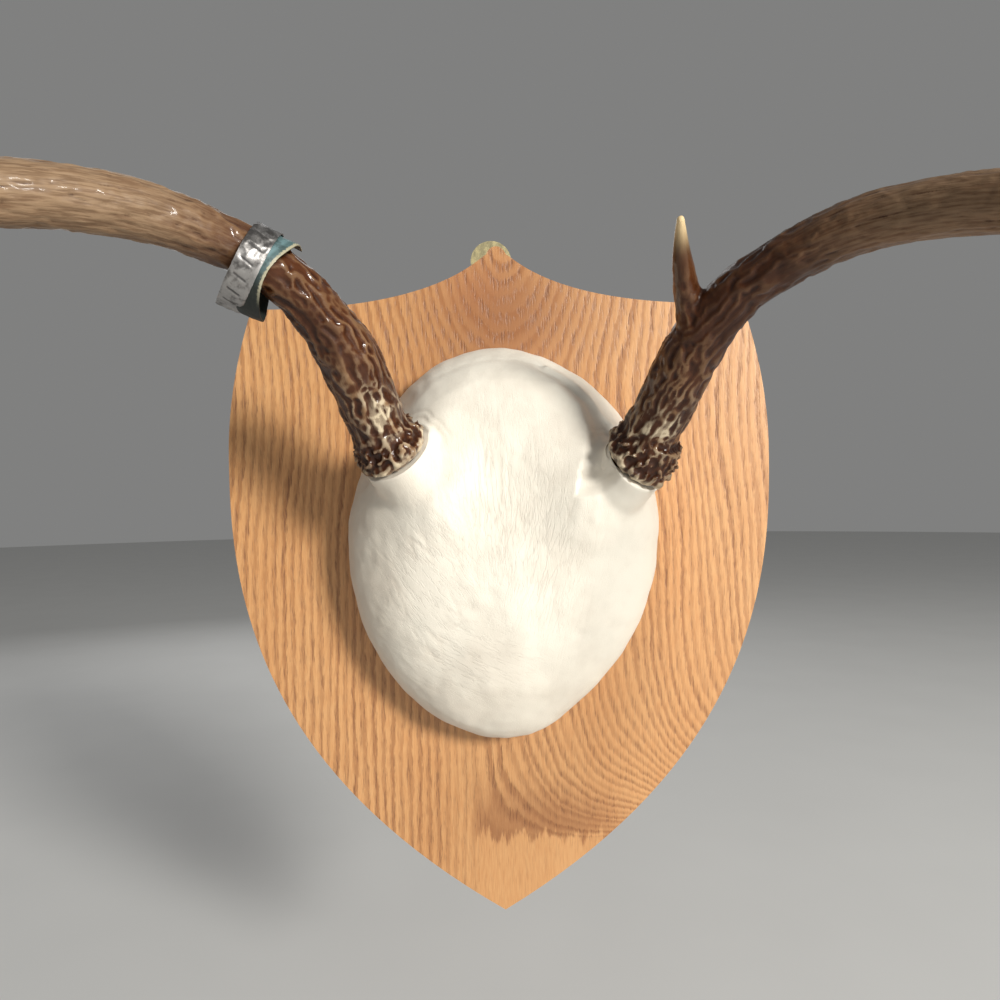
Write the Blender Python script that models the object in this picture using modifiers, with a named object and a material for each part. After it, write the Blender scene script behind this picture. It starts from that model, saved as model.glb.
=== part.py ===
"""Antler mounting plaque: an oak shield with a brass keyhole hanger, a leather-covered skull cap
screwed flat to its face, and two deer antlers. A wrapped metal tag hangs on the left antler.

+X is the viewer's right, +Z is up and the shield faces -Y. The origin is on the shield's flat back
face, on its centre line, at the height where the shield is widest. A place on the front of the
object is given as (x, z, out), where out is the distance off the shield's face."""

import math

import bmesh
import bpy
from mathutils import Matrix, Vector

MM = 0.001
GAP = 0.3 * MM

# The oak shield
SHIELD_WIDTH = 229 * MM
SHIELD_THICKNESS = 19 * MM
SHOULDER_WIDTH = 208 * MM
SHOULDER_HEIGHT = 61.4 * MM
APEX_HEIGHT = 86.7 * MM
APEX_NUB_HALF_WIDTH = 4.2 * MM
APEX_NUB_HEIGHT = 3.4 * MM
POINT_DEPTH = 194.6 * MM
EDGE_ROUND = 1.6 * MM
OUTLINE_STEPS = 11

# The brass keyhole hanger, let into the back
HANGER_WIDTH = 18 * MM
HANGER_THICKNESS = 1.2 * MM
HANGER_RISE = 8.4 * MM
HANGER_OFFSET = -2.3 * MM
HANGER_INSET = 0.2 * MM
KEYHOLE_RADIUS = 4.2 * MM
KEYHOLE_DROP = 26 * MM
SLOT_RADIUS = 2.1 * MM
SLOT_LENGTH = 8 * MM
NAIL_POCKET_DEPTH = 7 * MM

# Its two countersunk screws
SCREW_HEAD_RADIUS = 3.1 * MM
SCREW_HEAD_DEPTH = 1.0 * MM
SCREW_SHANK_RADIUS = 1.4 * MM
SCREW_TIP_COVER = 8 * MM
SCREW_WEB = 2.6 * MM
SCREW_SLOT_WIDTH = 0.7 * MM
SCREW_SLOT_DEPTH = 0.5 * MM
SCREW_SLOT_TURN = 25

# What follows from them
SCREW_LENGTH = SHIELD_THICKNESS - SCREW_TIP_COVER
SCREW_SPACING = 2 * SCREW_HEAD_RADIUS + SCREW_WEB
HANGER_LENGTH = KEYHOLE_DROP + KEYHOLE_RADIUS + 2 * SCREW_SPACING + SCREW_WEB

# The leather-covered skull cap. Its radii are measured every 30 degrees, from +X towards +Z.
CAP_CENTRE = (2 * MM, -35 * MM)
CAP_RADII = [r * MM for r in (62.8, 66.5, 71.0, 76.4, 72.8, 65.0, 64.0, 68.5, 77.8, 84.4, 72.8, 65.4)]
CAP_CROWN = (2 * MM, -14 * MM)
CAP_HEIGHT = 38 * MM
CAP_RIM_HEIGHT = 7 * MM
CAP_UNDERCUT = 1.6 * MM
# The skin follows a superellipse: a higher fullness holds the crown's height nearer to the rim.
CAP_FULLNESS_TOP = 4.4
CAP_FULLNESS_BOTTOM = 2.3
CAP_RIM_ROUNDNESS = 2.1
CAP_RELIEF_FADE = 3
TEMPLE_PLACE = (50 * MM, 14 * MM)
TEMPLE_RADIUS = 14 * MM
TEMPLE_DEPTH = 8 * MM
CAP_SIDES = 56
CAP_RINGS = 14

# Where each antler's burr sits, (x, z, out), and the way it points
LEFT_SEAT = (-37.9 * MM, -3.5 * MM, 40 * MM)
LEFT_SEAT_AXIS = (-0.446, 0.676, 0.587)
RIGHT_SEAT = (50.4 * MM, -7.1 * MM, 40 * MM)
RIGHT_SEAT_AXIS = (0.513, 0.563, 0.648)
PEDICLE_RADIUS = 13 * MM
PEDICLE_FOOT_RADIUS = 16.5 * MM
PEDICLE_LENGTH = 26 * MM
PEDICLE_RISE = 8 * MM
PEDICLE_SPREAD = 17 * MM
STUB_RADIUS = 9 * MM
STUB_LENGTH = 8 * MM
BURR_RADIUS = 14.6 * MM
BURR_HEIGHT = 6.6 * MM
BURR_LOBES = 13
BURR_LOBE_DEPTH = 0.7 * MM
SEAT_CLEARANCE = 1.6 * MM

# Each beam's route past its burr: x, z, out and diameter, in millimetres
LEFT_BEAM = (
    (-43.4, 7.1, 47.8, 21.0),
    (-47.0, 18.9, 56.0, 21.7),
    (-51.4, 30.6, 64.6, 21.2),
    (-56.7, 38.7, 71.4, 18.9),
    (-65.1, 48.8, 81.0, 16.8),
    (-79.5, 56.8, 93.8, 15.9),
    (-101.7, 60.9, 112.9, 17.2),
    (-130.0, 55.0, 138.0, 17.0),
    (-157.0, 39.0, 162.0, 16.0),
    (-174.0, 12.0, 183.0, 14.5),
    (-178.0, -21.0, 200.0, 12.0),
    (-168.0, -53.0, 211.0, 9.0),
    (-150.0, -79.0, 217.0, 3.6),
)
RIGHT_BEAM = (
    (54.2, 0.8, 45.7, 20.7),
    (58.7, 11.4, 53.5, 20.4),
    (62.6, 21.5, 61.0, 20.4),
    (66.4, 30.2, 67.9, 20.0),
    (73.8, 40.6, 77.6, 17.6),
    (81.6, 47.3, 85.6, 16.2),
    (105.2, 55.7, 106.9, 16.4),
    (133.0, 51.0, 133.0, 16.4),
    (160.0, 35.0, 157.0, 15.6),
    (177.0, 8.0, 178.0, 14.0),
    (181.0, -25.0, 195.0, 11.6),
    (171.0, -57.0, 206.0, 8.8),
    (153.0, -83.0, 212.0, 3.6),
)
BEAM_STEPS = 3
BEAM_SIDES = 12

# Tines: the beam's station they grow from, then steps (x, z, out) off it and diameters, in millimetres
LEFT_TINES = (
    (9.4, ((0, 0, 0, 13), (-2, 14, 20, 11.6), (-3, 25, 44, 9.4), (1, 31, 72, 6.4), (7, 31, 94, 2.4))),
    (10.95, ((0, 0, 0, 11), (-4, 12, 16, 9.6), (-6, 21, 38, 7.4), (-2, 25, 62, 2.4))),
)
RIGHT_TINES = (
    (5.5, ((-5, -2, 0, 12), (-8.3, 8.4, 4.2, 9.4), (-12.5, 18.8, 14.2, 6), (-14.9, 26.6, 23.2, 2.6))),
    (9.4, ((0, 0, 0, 13), (3, 13, 19, 11.4), (5, 24, 42, 9.2), (2, 30, 70, 6.2), (-4, 31, 90, 2.4))),
    (10.95, ((0, 0, 0, 11), (5, 11, 16, 9.4), (7, 19, 36, 7.2), (3, 23, 58, 2.4))),
)
TINE_STEPS = 3
TINE_SIDES = 10

# The tag, a strip wound round the left beam in a loose spiral that hangs on it
TAG_STATION = 6.5
TAG_STRIP_WIDTH = 7.6 * MM
TAG_THICKNESS = 0.6 * MM
TAG_SLACK = 3.4 * MM
TAG_TURNS = 1.58
TAG_START = -25
TAG_TURN_GAP = 0.4 * MM
TAG_LEAD = 6.2 * MM
TAG_LEAN = 20
TAG_STEPS = 56


def front(x, z, out):
    """The world point for a place on the front, in metres."""
    return Vector((x, -SHIELD_THICKNESS - out, z))


def front_direction(x, z, out):
    return Vector((x, -out, z)).normalized()


def clear_scene():
    for obj in list(bpy.data.objects):
        bpy.data.objects.remove(obj, do_unlink=True)


def new_collection(name):
    collection = bpy.data.collections.new(name)
    bpy.context.scene.collection.children.link(collection)
    return collection


def principled(name, colour, roughness, metallic=0.0):
    material = bpy.data.materials.new(name)
    material.use_nodes = True
    shader = material.node_tree.nodes["Principled BSDF"]
    shader.inputs["Base Color"].default_value = (*colour, 1.0)
    shader.inputs["Roughness"].default_value = roughness
    shader.inputs["Metallic"].default_value = metallic
    material.diffuse_color = (*colour, 1.0)
    return material


def add_object(name, data, collection, material=None):
    obj = bpy.data.objects.new(name, data)
    collection.objects.link(obj)
    if material:
        data.materials.append(material)
    return obj


def object_from_bmesh(name, bm, collection, material=None):
    bmesh.ops.recalc_face_normals(bm, faces=bm.faces)
    mesh = bpy.data.meshes.new(name)
    bm.to_mesh(mesh)
    bm.free()
    mesh.shade_smooth()
    mesh.set_sharp_from_angle(angle=math.radians(35))
    return add_object(name, mesh, collection, material)


def mesh_of_curve(curve_object):
    """Turns a curve object into a mesh object with its caps welded, at the same place."""
    bpy.context.view_layer.update()
    evaluated = curve_object.evaluated_get(bpy.context.evaluated_depsgraph_get())
    mesh = bpy.data.meshes.new_from_object(evaluated)
    bm = bmesh.new()
    bm.from_mesh(mesh)
    bmesh.ops.remove_doubles(bm, verts=bm.verts, dist=1e-6)
    bmesh.ops.recalc_face_normals(bm, faces=bm.faces)
    bm.to_mesh(mesh)
    bm.free()
    mesh.shade_smooth()
    mesh.set_sharp_from_angle(angle=math.radians(35))
    name = curve_object.name
    matrix = curve_object.matrix_world.copy()
    collection = curve_object.users_collection[0]
    bpy.data.objects.remove(curve_object, do_unlink=True)
    obj = add_object(name, mesh, collection)
    obj.matrix_world = matrix
    return obj


def as_cutter(obj):
    obj.hide_render = True
    obj.display_type = "WIRE"
    return obj


def boolean(target, other, operation):
    modifier = target.modifiers.new(f"{operation.lower()} {other.name}", "BOOLEAN")
    modifier.operation = operation
    modifier.object = other
    return modifier


def along(axis):
    """A turn that takes +Z to the axis."""
    return Vector(axis).to_track_quat("Z", "Y").to_matrix().to_4x4()


def cylinder(name, radius_low, radius_high, length, place, axis, collection, sides=32):
    """A cone or cylinder that starts at the place and runs along the axis."""
    bm = bmesh.new()
    bmesh.ops.create_cone(
        bm, cap_ends=True, segments=sides, radius1=radius_low, radius2=radius_high, depth=length
    )
    bmesh.ops.translate(bm, verts=bm.verts, vec=(0, 0, length / 2))
    obj = object_from_bmesh(name, bm, collection)
    obj.matrix_world = Matrix.Translation(place) @ along(axis)
    return obj


def flat_outline(name, points, thickness, collection):
    """A plate in the XZ plane from Bezier points (co, left handle, right handle), centred on y = 0."""
    curve = bpy.data.curves.new(name, "CURVE")
    curve.dimensions = "2D"
    curve.fill_mode = "BOTH"
    curve.resolution_u = OUTLINE_STEPS
    curve.extrude = thickness / 2
    spline = curve.splines.new("BEZIER")
    spline.use_cyclic_u = True
    spline.bezier_points.add(len(points) - 1)
    for bezier, (co, left, right) in zip(spline.bezier_points, points):
        bezier.handle_left_type = "FREE"
        bezier.handle_right_type = "FREE"
        bezier.co = (*co, 0)
        bezier.handle_left = (*left, 0)
        bezier.handle_right = (*right, 0)
    obj = add_object(name, curve, collection)
    obj.rotation_euler.x = math.pi / 2
    return mesh_of_curve(obj)


def rounded_strip(centre_x, low_z, high_z, radius):
    """Bezier points of an upright strip with half-round ends."""
    pull = radius * 4 / 3 * (math.sqrt(2) - 1)
    low = low_z + radius
    high = high_z - radius
    right, left = centre_x + radius, centre_x - radius
    return [
        ((right, low), (right, low - pull), (right, high)),
        ((right, high), (right, low), (right, high + pull)),
        ((centre_x, high_z), (centre_x + pull, high_z), (centre_x - pull, high_z)),
        ((left, high), (left, high + pull), (left, low)),
        ((left, low), (left, high), (left, low - pull)),
        ((centre_x, low_z), (centre_x - pull, low_z), (centre_x + pull, low_z)),
    ]


def shield_outline():
    """The right half from the apex down to the point, then its mirror image back up."""
    half = SHIELD_WIDTH / 2
    shoulder = SHOULDER_WIDTH / 2
    nub = (APEX_NUB_HALF_WIDTH, APEX_HEIGHT - APEX_NUB_HEIGHT)
    fall = SHOULDER_HEIGHT - nub[1]
    right = [
        ((0, APEX_HEIGHT), None, (nub[0] * 0.55, APEX_HEIGHT)),
        (nub, (nub[0] * 0.82, nub[1] + APEX_NUB_HEIGHT * 0.5), (nub[0] * 2.2, nub[1] + fall * 0.13)),
        (
            (shoulder, SHOULDER_HEIGHT),
            (shoulder * 0.26, nub[1] + fall * 1.08),
            (shoulder + (half - shoulder) * 0.62, SHOULDER_HEIGHT * 0.68),
        ),
        ((half, 0), (half, SHOULDER_HEIGHT * 0.33), (half, -POINT_DEPTH * 0.232)),
        ((0, -POINT_DEPTH), (half * 0.992, -POINT_DEPTH * 0.657), None),
    ]
    points = []
    for co, left, after in right:
        mirrored = (-after[0], after[1]) if left is None else left
        follows = (-left[0], left[1]) if after is None else after
        points.append((co, mirrored, follows))
    for co, left, after in reversed(right[1:-1]):
        points.append(((-co[0], co[1]), (-after[0], after[1]), (-left[0], left[1])))
    return points


def make_shield(collection, cutters, material):
    shield = flat_outline("shield_plaque", shield_outline(), SHIELD_THICKNESS, collection)
    shield.location.y = -SHIELD_THICKNESS / 2
    shield.data.materials.append(material)
    edge = shield.modifiers.new("eased edge", "BEVEL")
    edge.width = EDGE_ROUND
    edge.segments = 2
    edge.limit_method = "ANGLE"
    edge.angle_limit = math.radians(60)

    top = APEX_HEIGHT + HANGER_RISE
    mortise = flat_outline(
        "hanger_mortise",
        rounded_strip(HANGER_OFFSET, top - HANGER_LENGTH - GAP, top + GAP, HANGER_WIDTH / 2 + GAP),
        2 * (HANGER_INSET + HANGER_THICKNESS + GAP),
        cutters,
    )
    boolean(shield, as_cutter(mortise), "DIFFERENCE")

    keyhole = top - KEYHOLE_DROP
    slot_top = keyhole + SLOT_LENGTH
    pocket = flat_outline(
        "nail_pocket",
        rounded_strip(
            HANGER_OFFSET, keyhole - KEYHOLE_RADIUS - GAP, slot_top + KEYHOLE_RADIUS, KEYHOLE_RADIUS + GAP
        ),
        2 * NAIL_POCKET_DEPTH,
        cutters,
    )
    boolean(shield, as_cutter(pocket), "DIFFERENCE")

    for number, z in enumerate(screw_heights(), 1):
        pilot = cylinder(
            f"pilot_hole_{number}",
            SCREW_SHANK_RADIUS + GAP,
            SCREW_SHANK_RADIUS + GAP,
            SCREW_LENGTH + 2 * GAP,
            Vector((HANGER_OFFSET, 0, z)),
            (0, -1, 0),
            cutters,
            16,
        )
        boolean(shield, as_cutter(pilot), "DIFFERENCE")
    return shield


def screw_heights():
    lower = APEX_HEIGHT + HANGER_RISE - HANGER_LENGTH + SCREW_WEB + SCREW_HEAD_RADIUS
    return [lower, lower + SCREW_SPACING]


def make_hanger(collection, cutters, material):
    top = APEX_HEIGHT + HANGER_RISE
    plate = flat_outline(
        "hanger_plate",
        rounded_strip(HANGER_OFFSET, top - HANGER_LENGTH, top, HANGER_WIDTH / 2),
        HANGER_THICKNESS,
        collection,
    )
    plate.location.y = -HANGER_INSET - HANGER_THICKNESS / 2
    plate.data.materials.append(material)

    keyhole = top - KEYHOLE_DROP
    through = Vector((HANGER_OFFSET, HANGER_THICKNESS, keyhole))
    hole = cylinder(
        "keyhole", KEYHOLE_RADIUS, KEYHOLE_RADIUS, 5 * HANGER_THICKNESS, through, (0, -1, 0), cutters, 28
    )
    boolean(plate, as_cutter(hole), "DIFFERENCE")
    slot = flat_outline(
        "keyhole_slot",
        rounded_strip(HANGER_OFFSET, keyhole, keyhole + SLOT_LENGTH + SLOT_RADIUS, SLOT_RADIUS),
        8 * HANGER_THICKNESS,
        cutters,
    )
    boolean(plate, as_cutter(slot), "DIFFERENCE")
    for number, z in enumerate(screw_heights(), 1):
        spread = (SCREW_HEAD_RADIUS - SCREW_SHANK_RADIUS) / SCREW_HEAD_DEPTH
        reach = HANGER_THICKNESS + HANGER_INSET + GAP
        sink = cylinder(
            f"countersink_{number}",
            SCREW_HEAD_RADIUS + GAP + spread * HANGER_INSET,
            SCREW_HEAD_RADIUS + GAP - spread * (reach - HANGER_INSET),
            reach,
            Vector((HANGER_OFFSET, 0, z)),
            (0, -1, 0),
            cutters,
            20,
        )
        boolean(plate, as_cutter(sink), "DIFFERENCE")
        hole = cylinder(
            f"screw_hole_{number}",
            SCREW_SHANK_RADIUS + GAP,
            SCREW_SHANK_RADIUS + GAP,
            5 * HANGER_THICKNESS,
            Vector((HANGER_OFFSET, HANGER_THICKNESS, z)),
            (0, -1, 0),
            cutters,
            20,
        )
        boolean(plate, as_cutter(hole), "DIFFERENCE")
    return plate


def make_hanger_screw(name, z, collection, cutters, material):
    """A countersunk wood screw seen from behind: a turned profile with a straight slot."""
    head_y = -HANGER_INSET
    tip = SCREW_LENGTH - 3 * SCREW_SHANK_RADIUS
    profile = [
        (0, 0),
        (SCREW_HEAD_RADIUS, 0),
        (SCREW_SHANK_RADIUS, SCREW_HEAD_DEPTH),
        (SCREW_SHANK_RADIUS, tip),
        (0.2 * MM, SCREW_LENGTH),
        (0, SCREW_LENGTH),
    ]
    screw = turned(name, profile, 20, collection)
    screw.matrix_world = Matrix.Translation((HANGER_OFFSET, head_y, z)) @ along((0, -1, 0))
    screw.data.materials.append(material)
    bm = bmesh.new()
    bmesh.ops.create_cube(bm, size=1)
    size = (3 * SCREW_HEAD_RADIUS, 2 * SCREW_SLOT_DEPTH, SCREW_SLOT_WIDTH)
    bmesh.ops.scale(bm, verts=bm.verts, vec=size)
    slot = object_from_bmesh(f"{name}_slot", bm, cutters)
    slot.location = (HANGER_OFFSET, head_y, z)
    slot.rotation_euler.y = math.radians(SCREW_SLOT_TURN)
    boolean(screw, as_cutter(slot), "DIFFERENCE")
    return screw


def turned(name, profile, sides, collection, shape=None):
    """A closed solid turned about +Z from (radius, height) points. The shape moves each radius."""
    bm = bmesh.new()
    points = [bm.verts.new((radius, 0, height)) for radius, height in profile]
    edges = [bm.edges.new(pair) for pair in zip(points, points[1:])]
    bmesh.ops.spin(
        bm, geom=points + edges, cent=(0, 0, 0), axis=(0, 0, 1), angle=math.tau, steps=sides, use_merge=True
    )
    bmesh.ops.remove_doubles(bm, verts=bm.verts, dist=1e-6)
    if shape:
        for vert in bm.verts:
            radius = math.hypot(vert.co.x, vert.co.y)
            if radius > 0:
                factor = shape(radius, math.atan2(vert.co.y, vert.co.x), vert.co.z) / radius
                vert.co.x *= factor
                vert.co.y *= factor
    return object_from_bmesh(name, bm, collection)


def catmull(values, t):
    """The smooth value between the middle two of four, at t from 0 to 1."""
    a, b, c, d = values
    return b + 0.5 * t * (c - a + t * (2 * a - 5 * b + 4 * c - d + t * (3 * (b - c) + d - a)))


def cap_radius(angle):
    place = angle / math.tau * len(CAP_RADII)
    first = math.floor(place)
    near = [CAP_RADII[(first + step) % len(CAP_RADII)] for step in (-1, 0, 1, 2)]
    return catmull(near, place - first)


def cap_out(x, z, share):
    """How far the cap's skin stands off the shield, a share of the way from crown to outline."""
    upward = (z - CAP_CENTRE[1]) / max(CAP_RADII)
    blend = max(0.0, min(1.0, 0.5 + 0.8 * upward))
    fullness = CAP_FULLNESS_BOTTOM + (CAP_FULLNESS_TOP - CAP_FULLNESS_BOTTOM) * blend
    dome = (1 - share**fullness) ** (1 / CAP_RIM_ROUNDNESS)
    relief = 0.0
    for side in (-1, 1):
        away = math.hypot(x - CAP_CENTRE[0] - side * TEMPLE_PLACE[0], z - TEMPLE_PLACE[1])
        relief -= TEMPLE_DEPTH * math.exp(-((away / TEMPLE_RADIUS) ** 2))
    for seat, axis in ((LEFT_SEAT, LEFT_SEAT_AXIS), (RIGHT_SEAT, RIGHT_SEAT_AXIS)):
        foot = Vector(seat) - Vector(axis).normalized() * PEDICLE_LENGTH
        away = math.hypot(x - foot.x, z - foot.y)
        relief += PEDICLE_RISE * math.exp(-((away / PEDICLE_SPREAD) ** 2))
    relief *= min(1.0, CAP_RELIEF_FADE * dome)
    return CAP_RIM_HEIGHT + (CAP_HEIGHT - CAP_RIM_HEIGHT) * dome + relief


def cap_rings():
    """Rings of (x, z, out) from the cap's underside up to just short of its crown."""
    directions = [math.tau * side / CAP_SIDES for side in range(CAP_SIDES)]
    outline = []
    for angle in directions:
        radius = cap_radius(angle)
        outline.append(
            (CAP_CENTRE[0] + radius * math.cos(angle), CAP_CENTRE[1] + radius * math.sin(angle), angle)
        )
    rings = []
    for inset, out in ((CAP_UNDERCUT, 0.0), (CAP_UNDERCUT * 0.3, 0.45 * CAP_RIM_HEIGHT)):
        ring = [(x - inset * math.cos(a), z - inset * math.sin(a), out) for x, z, a in outline]
        rings.append(ring)
    for number in range(CAP_RINGS):
        share = math.cos(0.5 * math.pi * number / CAP_RINGS)
        ring = []
        for x, z, _ in outline:
            px = CAP_CROWN[0] + (x - CAP_CROWN[0]) * share
            pz = CAP_CROWN[1] + (z - CAP_CROWN[1]) * share
            ring.append((px, pz, cap_out(px, pz, share)))
        rings.append(ring)
    return rings


def make_cap(collection, cutters, material):
    """The dome is lofted from its rings, two pedicles are joined on and their sockets cut."""
    bm = bmesh.new()
    rings = [[bm.verts.new(front(x, z, out + GAP)) for x, z, out in ring] for ring in cap_rings()]
    for lower, upper in zip(rings, rings[1:]):
        for side in range(CAP_SIDES):
            after = (side + 1) % CAP_SIDES
            bm.faces.new((lower[side], lower[after], upper[after], upper[side]))
    bm.faces.new(reversed(rings[0]))
    crown = bm.verts.new(front(*CAP_CROWN, CAP_HEIGHT + GAP))
    for side in range(CAP_SIDES):
        bm.faces.new((rings[-1][side], rings[-1][(side + 1) % CAP_SIDES], crown))
    cap = object_from_bmesh("leather_skull_cap", bm, collection, material)

    seats = (("left", LEFT_SEAT, LEFT_SEAT_AXIS), ("right", RIGHT_SEAT, RIGHT_SEAT_AXIS))
    for side, seat, axis in seats:
        direction = front_direction(*axis)
        pedicle = cylinder(
            f"pedicle_{side}",
            PEDICLE_FOOT_RADIUS,
            PEDICLE_RADIUS,
            PEDICLE_LENGTH + SEAT_CLEARANCE,
            front(*seat) - direction * PEDICLE_LENGTH,
            direction,
            cutters,
        )
        boolean(cap, as_cutter(pedicle), "UNION")
    for side, seat, axis in seats:
        socket = turned(f"socket_{side}", socket_profile(), 4 * BURR_LOBES, cutters)
        socket.matrix_world = Matrix.Translation(front(*seat)) @ along(front_direction(*axis))
        boolean(cap, as_cutter(socket), "DIFFERENCE")
    return cap


def socket_profile():
    """Room for an antler's stub and, above the seat, for its burr."""
    stub = STUB_RADIUS + GAP
    burr = BURR_RADIUS + SEAT_CLEARANCE
    return [
        (0, -STUB_LENGTH - GAP),
        (stub, -STUB_LENGTH - GAP),
        (stub, -GAP),
        (burr, -GAP),
        (burr, 2 * BURR_HEIGHT),
        (0, 2 * BURR_HEIGHT),
    ]


def path_point(rows, station):
    """Place and diameter at a station of the route, where row n is station n."""
    first = min(int(station), len(rows) - 2)
    t = station - first
    before = rows[first - 1] if first else [2 * a - b for a, b in zip(rows[0], rows[1])]
    last = rows[first + 2] if first + 2 < len(rows) else [2 * a - b for a, b in zip(rows[-1], rows[-2])]
    four = (before, rows[first], rows[first + 1], last)
    values = [catmull([row[axis] for row in four], t) for axis in range(4)]
    return values[:3], values[3]


def beam_rows(seat, axis, rows):
    """The whole route in metres: it starts inside the stub and leaves the burr on the burr's own axis."""
    direction = Vector(axis).normalized()
    root = Vector(seat) - direction * STUB_LENGTH * 0.5
    collar = Vector(seat) + direction * BURR_HEIGHT * 0.5
    inside = [(*root, 1.5 * STUB_RADIUS), (*collar, 2.05 * STUB_RADIUS)]
    return inside + [tuple(value * MM for value in row) for row in rows]


def tube(name, rows, steps, sides, collection):
    """A tapering tube through rows of x, z, out and diameter, as a mesh with its ends closed."""
    stations = [number / steps for number in range((len(rows) - 1) * steps + 1)]
    samples = [path_point(rows, station) for station in stations]
    widest = max(diameter for _, diameter in samples) / 2
    curve = bpy.data.curves.new(name, "CURVE")
    curve.dimensions = "3D"
    curve.bevel_depth = widest
    curve.bevel_resolution = (sides - 4) // 2
    curve.use_fill_caps = True
    spline = curve.splines.new("POLY")
    spline.points.add(len(samples) - 1)
    for point, (place, diameter) in zip(spline.points, samples):
        point.co = (*front(*place), 1)
        point.radius = diameter / 2 / widest
    return mesh_of_curve(add_object(name, curve, collection))


def burr_profile():
    """The stub that the socket takes, then the burr's crown of bone."""
    radius, height = BURR_RADIUS, BURR_HEIGHT
    return [
        (0, -STUB_LENGTH),
        (STUB_RADIUS, -STUB_LENGTH),
        (STUB_RADIUS, 0),
        (radius * 0.86, 0),
        (radius * 0.98, height * 0.16),
        (radius, height * 0.42),
        (radius * 0.93, height * 0.72),
        (radius * 0.78, height),
        (0, height),
    ]


def burr_shape(radius, angle, height):
    if height < 0 or radius <= STUB_RADIUS + GAP:
        return radius
    ripple = math.cos(BURR_LOBES * angle) + 0.6 * math.cos((BURR_LOBES + 6) * angle + 1)
    return radius + BURR_LOBE_DEPTH * ripple * min(1.0, height / BURR_HEIGHT * 4)


def make_antler(name, seat, axis, rows, tines, collection, cutters, material):
    route = beam_rows(seat, axis, rows)
    antler = tube(name, route, BEAM_STEPS, BEAM_SIDES, collection)
    antler.data.materials.append(material)
    burr = turned(f"{name}_burr", burr_profile(), 4 * BURR_LOBES, cutters, burr_shape)
    burr.matrix_world = Matrix.Translation(front(*seat)) @ along(front_direction(*axis))
    boolean(antler, as_cutter(burr), "UNION")
    for number, (station, steps) in enumerate(tines, 1):
        root, _ = path_point(route, station)
        tine_rows = []
        for x, z, out, diameter in steps:
            place = [a + b * MM for a, b in zip(root, (x, z, out))]
            tine_rows.append((*place, diameter * MM))
        tine = tube(f"{name}_tine_{number}", tine_rows, TINE_STEPS, TINE_SIDES, cutters)
        boolean(antler, as_cutter(tine), "UNION")
    return antler


def tag_frame():
    """Where the tag's spiral is centred, and its down, near and along directions."""
    route = beam_rows(LEFT_SEAT, LEFT_SEAT_AXIS, LEFT_BEAM)
    place, diameter = path_point(route, TAG_STATION)
    before = front(*path_point(route, TAG_STATION - 0.3)[0])
    after = front(*path_point(route, TAG_STATION + 0.3)[0])
    outward = (after - before).normalized()
    down = Vector((0, 0, -1))
    down = (down - down.dot(outward) * outward).normalized()
    lean = Matrix.Rotation(math.radians(TAG_LEAN), 3, down)
    axis = lean @ outward
    near = axis.cross(down)
    if near.y > 0:
        near = -near
    inner = diameter / 2 + TAG_SLACK
    centre = front(*place) + down * (TAG_SLACK - 2 * GAP)
    return centre, down, near, axis, inner


def make_tag(collection, material):
    """Lofts the strip's four corners along the spiral, from its outer end to its inner end."""
    centre, down, near, axis, inner = tag_frame()
    pitch = TAG_THICKNESS + TAG_TURN_GAP
    bm = bmesh.new()
    sections = []
    for step in range(TAG_STEPS + 1):
        turn = TAG_TURNS * step / TAG_STEPS
        angle = math.radians(TAG_START) + math.tau * turn
        outward = down * math.cos(angle) + near * math.sin(angle)
        radius = inner + pitch * (TAG_TURNS - turn)
        middle = centre + axis * (TAG_LEAD * (TAG_TURNS / 2 - turn))
        corners = []
        for off, side in ((0, -1), (0, 1), (TAG_THICKNESS, 1), (TAG_THICKNESS, -1)):
            place = middle + outward * (radius + off) + axis * (side * TAG_STRIP_WIDTH / 2)
            corners.append(bm.verts.new(place))
        sections.append(corners)
    for first, second in zip(sections, sections[1:]):
        for corner in range(4):
            after = (corner + 1) % 4
            bm.faces.new((first[corner], first[after], second[after], second[corner]))
    bm.faces.new(sections[0])
    bm.faces.new(reversed(sections[-1]))
    return object_from_bmesh("tag_band", bm, collection, material)


def main():
    clear_scene()
    collection = new_collection("antler_mounting_plaque")
    cutters = new_collection("cutters")
    oak = principled("oak", (0.60, 0.31, 0.13), 0.42)
    brass = principled("brass", (0.74, 0.62, 0.33), 0.35, 1.0)
    leather = principled("leather", (0.80, 0.76, 0.69), 0.6)
    antler = principled("antler", (0.20, 0.11, 0.06), 0.3)
    tag_metal = principled("tag_metal", (0.62, 0.61, 0.59), 0.38, 1.0)
    make_shield(collection, cutters, oak)
    make_hanger(collection, cutters, brass)
    for number, z in enumerate(screw_heights(), 1):
        make_hanger_screw(f"hanger_screw_{number}", z, collection, cutters, brass)
    make_cap(collection, cutters, leather)
    make_antler(
        "antler_left", LEFT_SEAT, LEFT_SEAT_AXIS, LEFT_BEAM, LEFT_TINES, collection, cutters, antler
    )
    make_antler(
        "antler_right", RIGHT_SEAT, RIGHT_SEAT_AXIS, RIGHT_BEAM, RIGHT_TINES, collection, cutters, antler
    )
    make_tag(collection, tag_metal)


main()
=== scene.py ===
# %% [markdown]
# # An antler mounting plaque in Blender
# The real object is a pair of small deer antlers on their skull cap. The cap is covered in white
# leather and screwed flat to an oak shield, a brass keyhole plate behind the top hangs it on a nail,
# and a strip of tag metal is wrapped round the left beam.
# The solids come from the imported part. This script dresses them: it keeps every size and place, and
# makes the surfaces that a camera needs.

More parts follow.
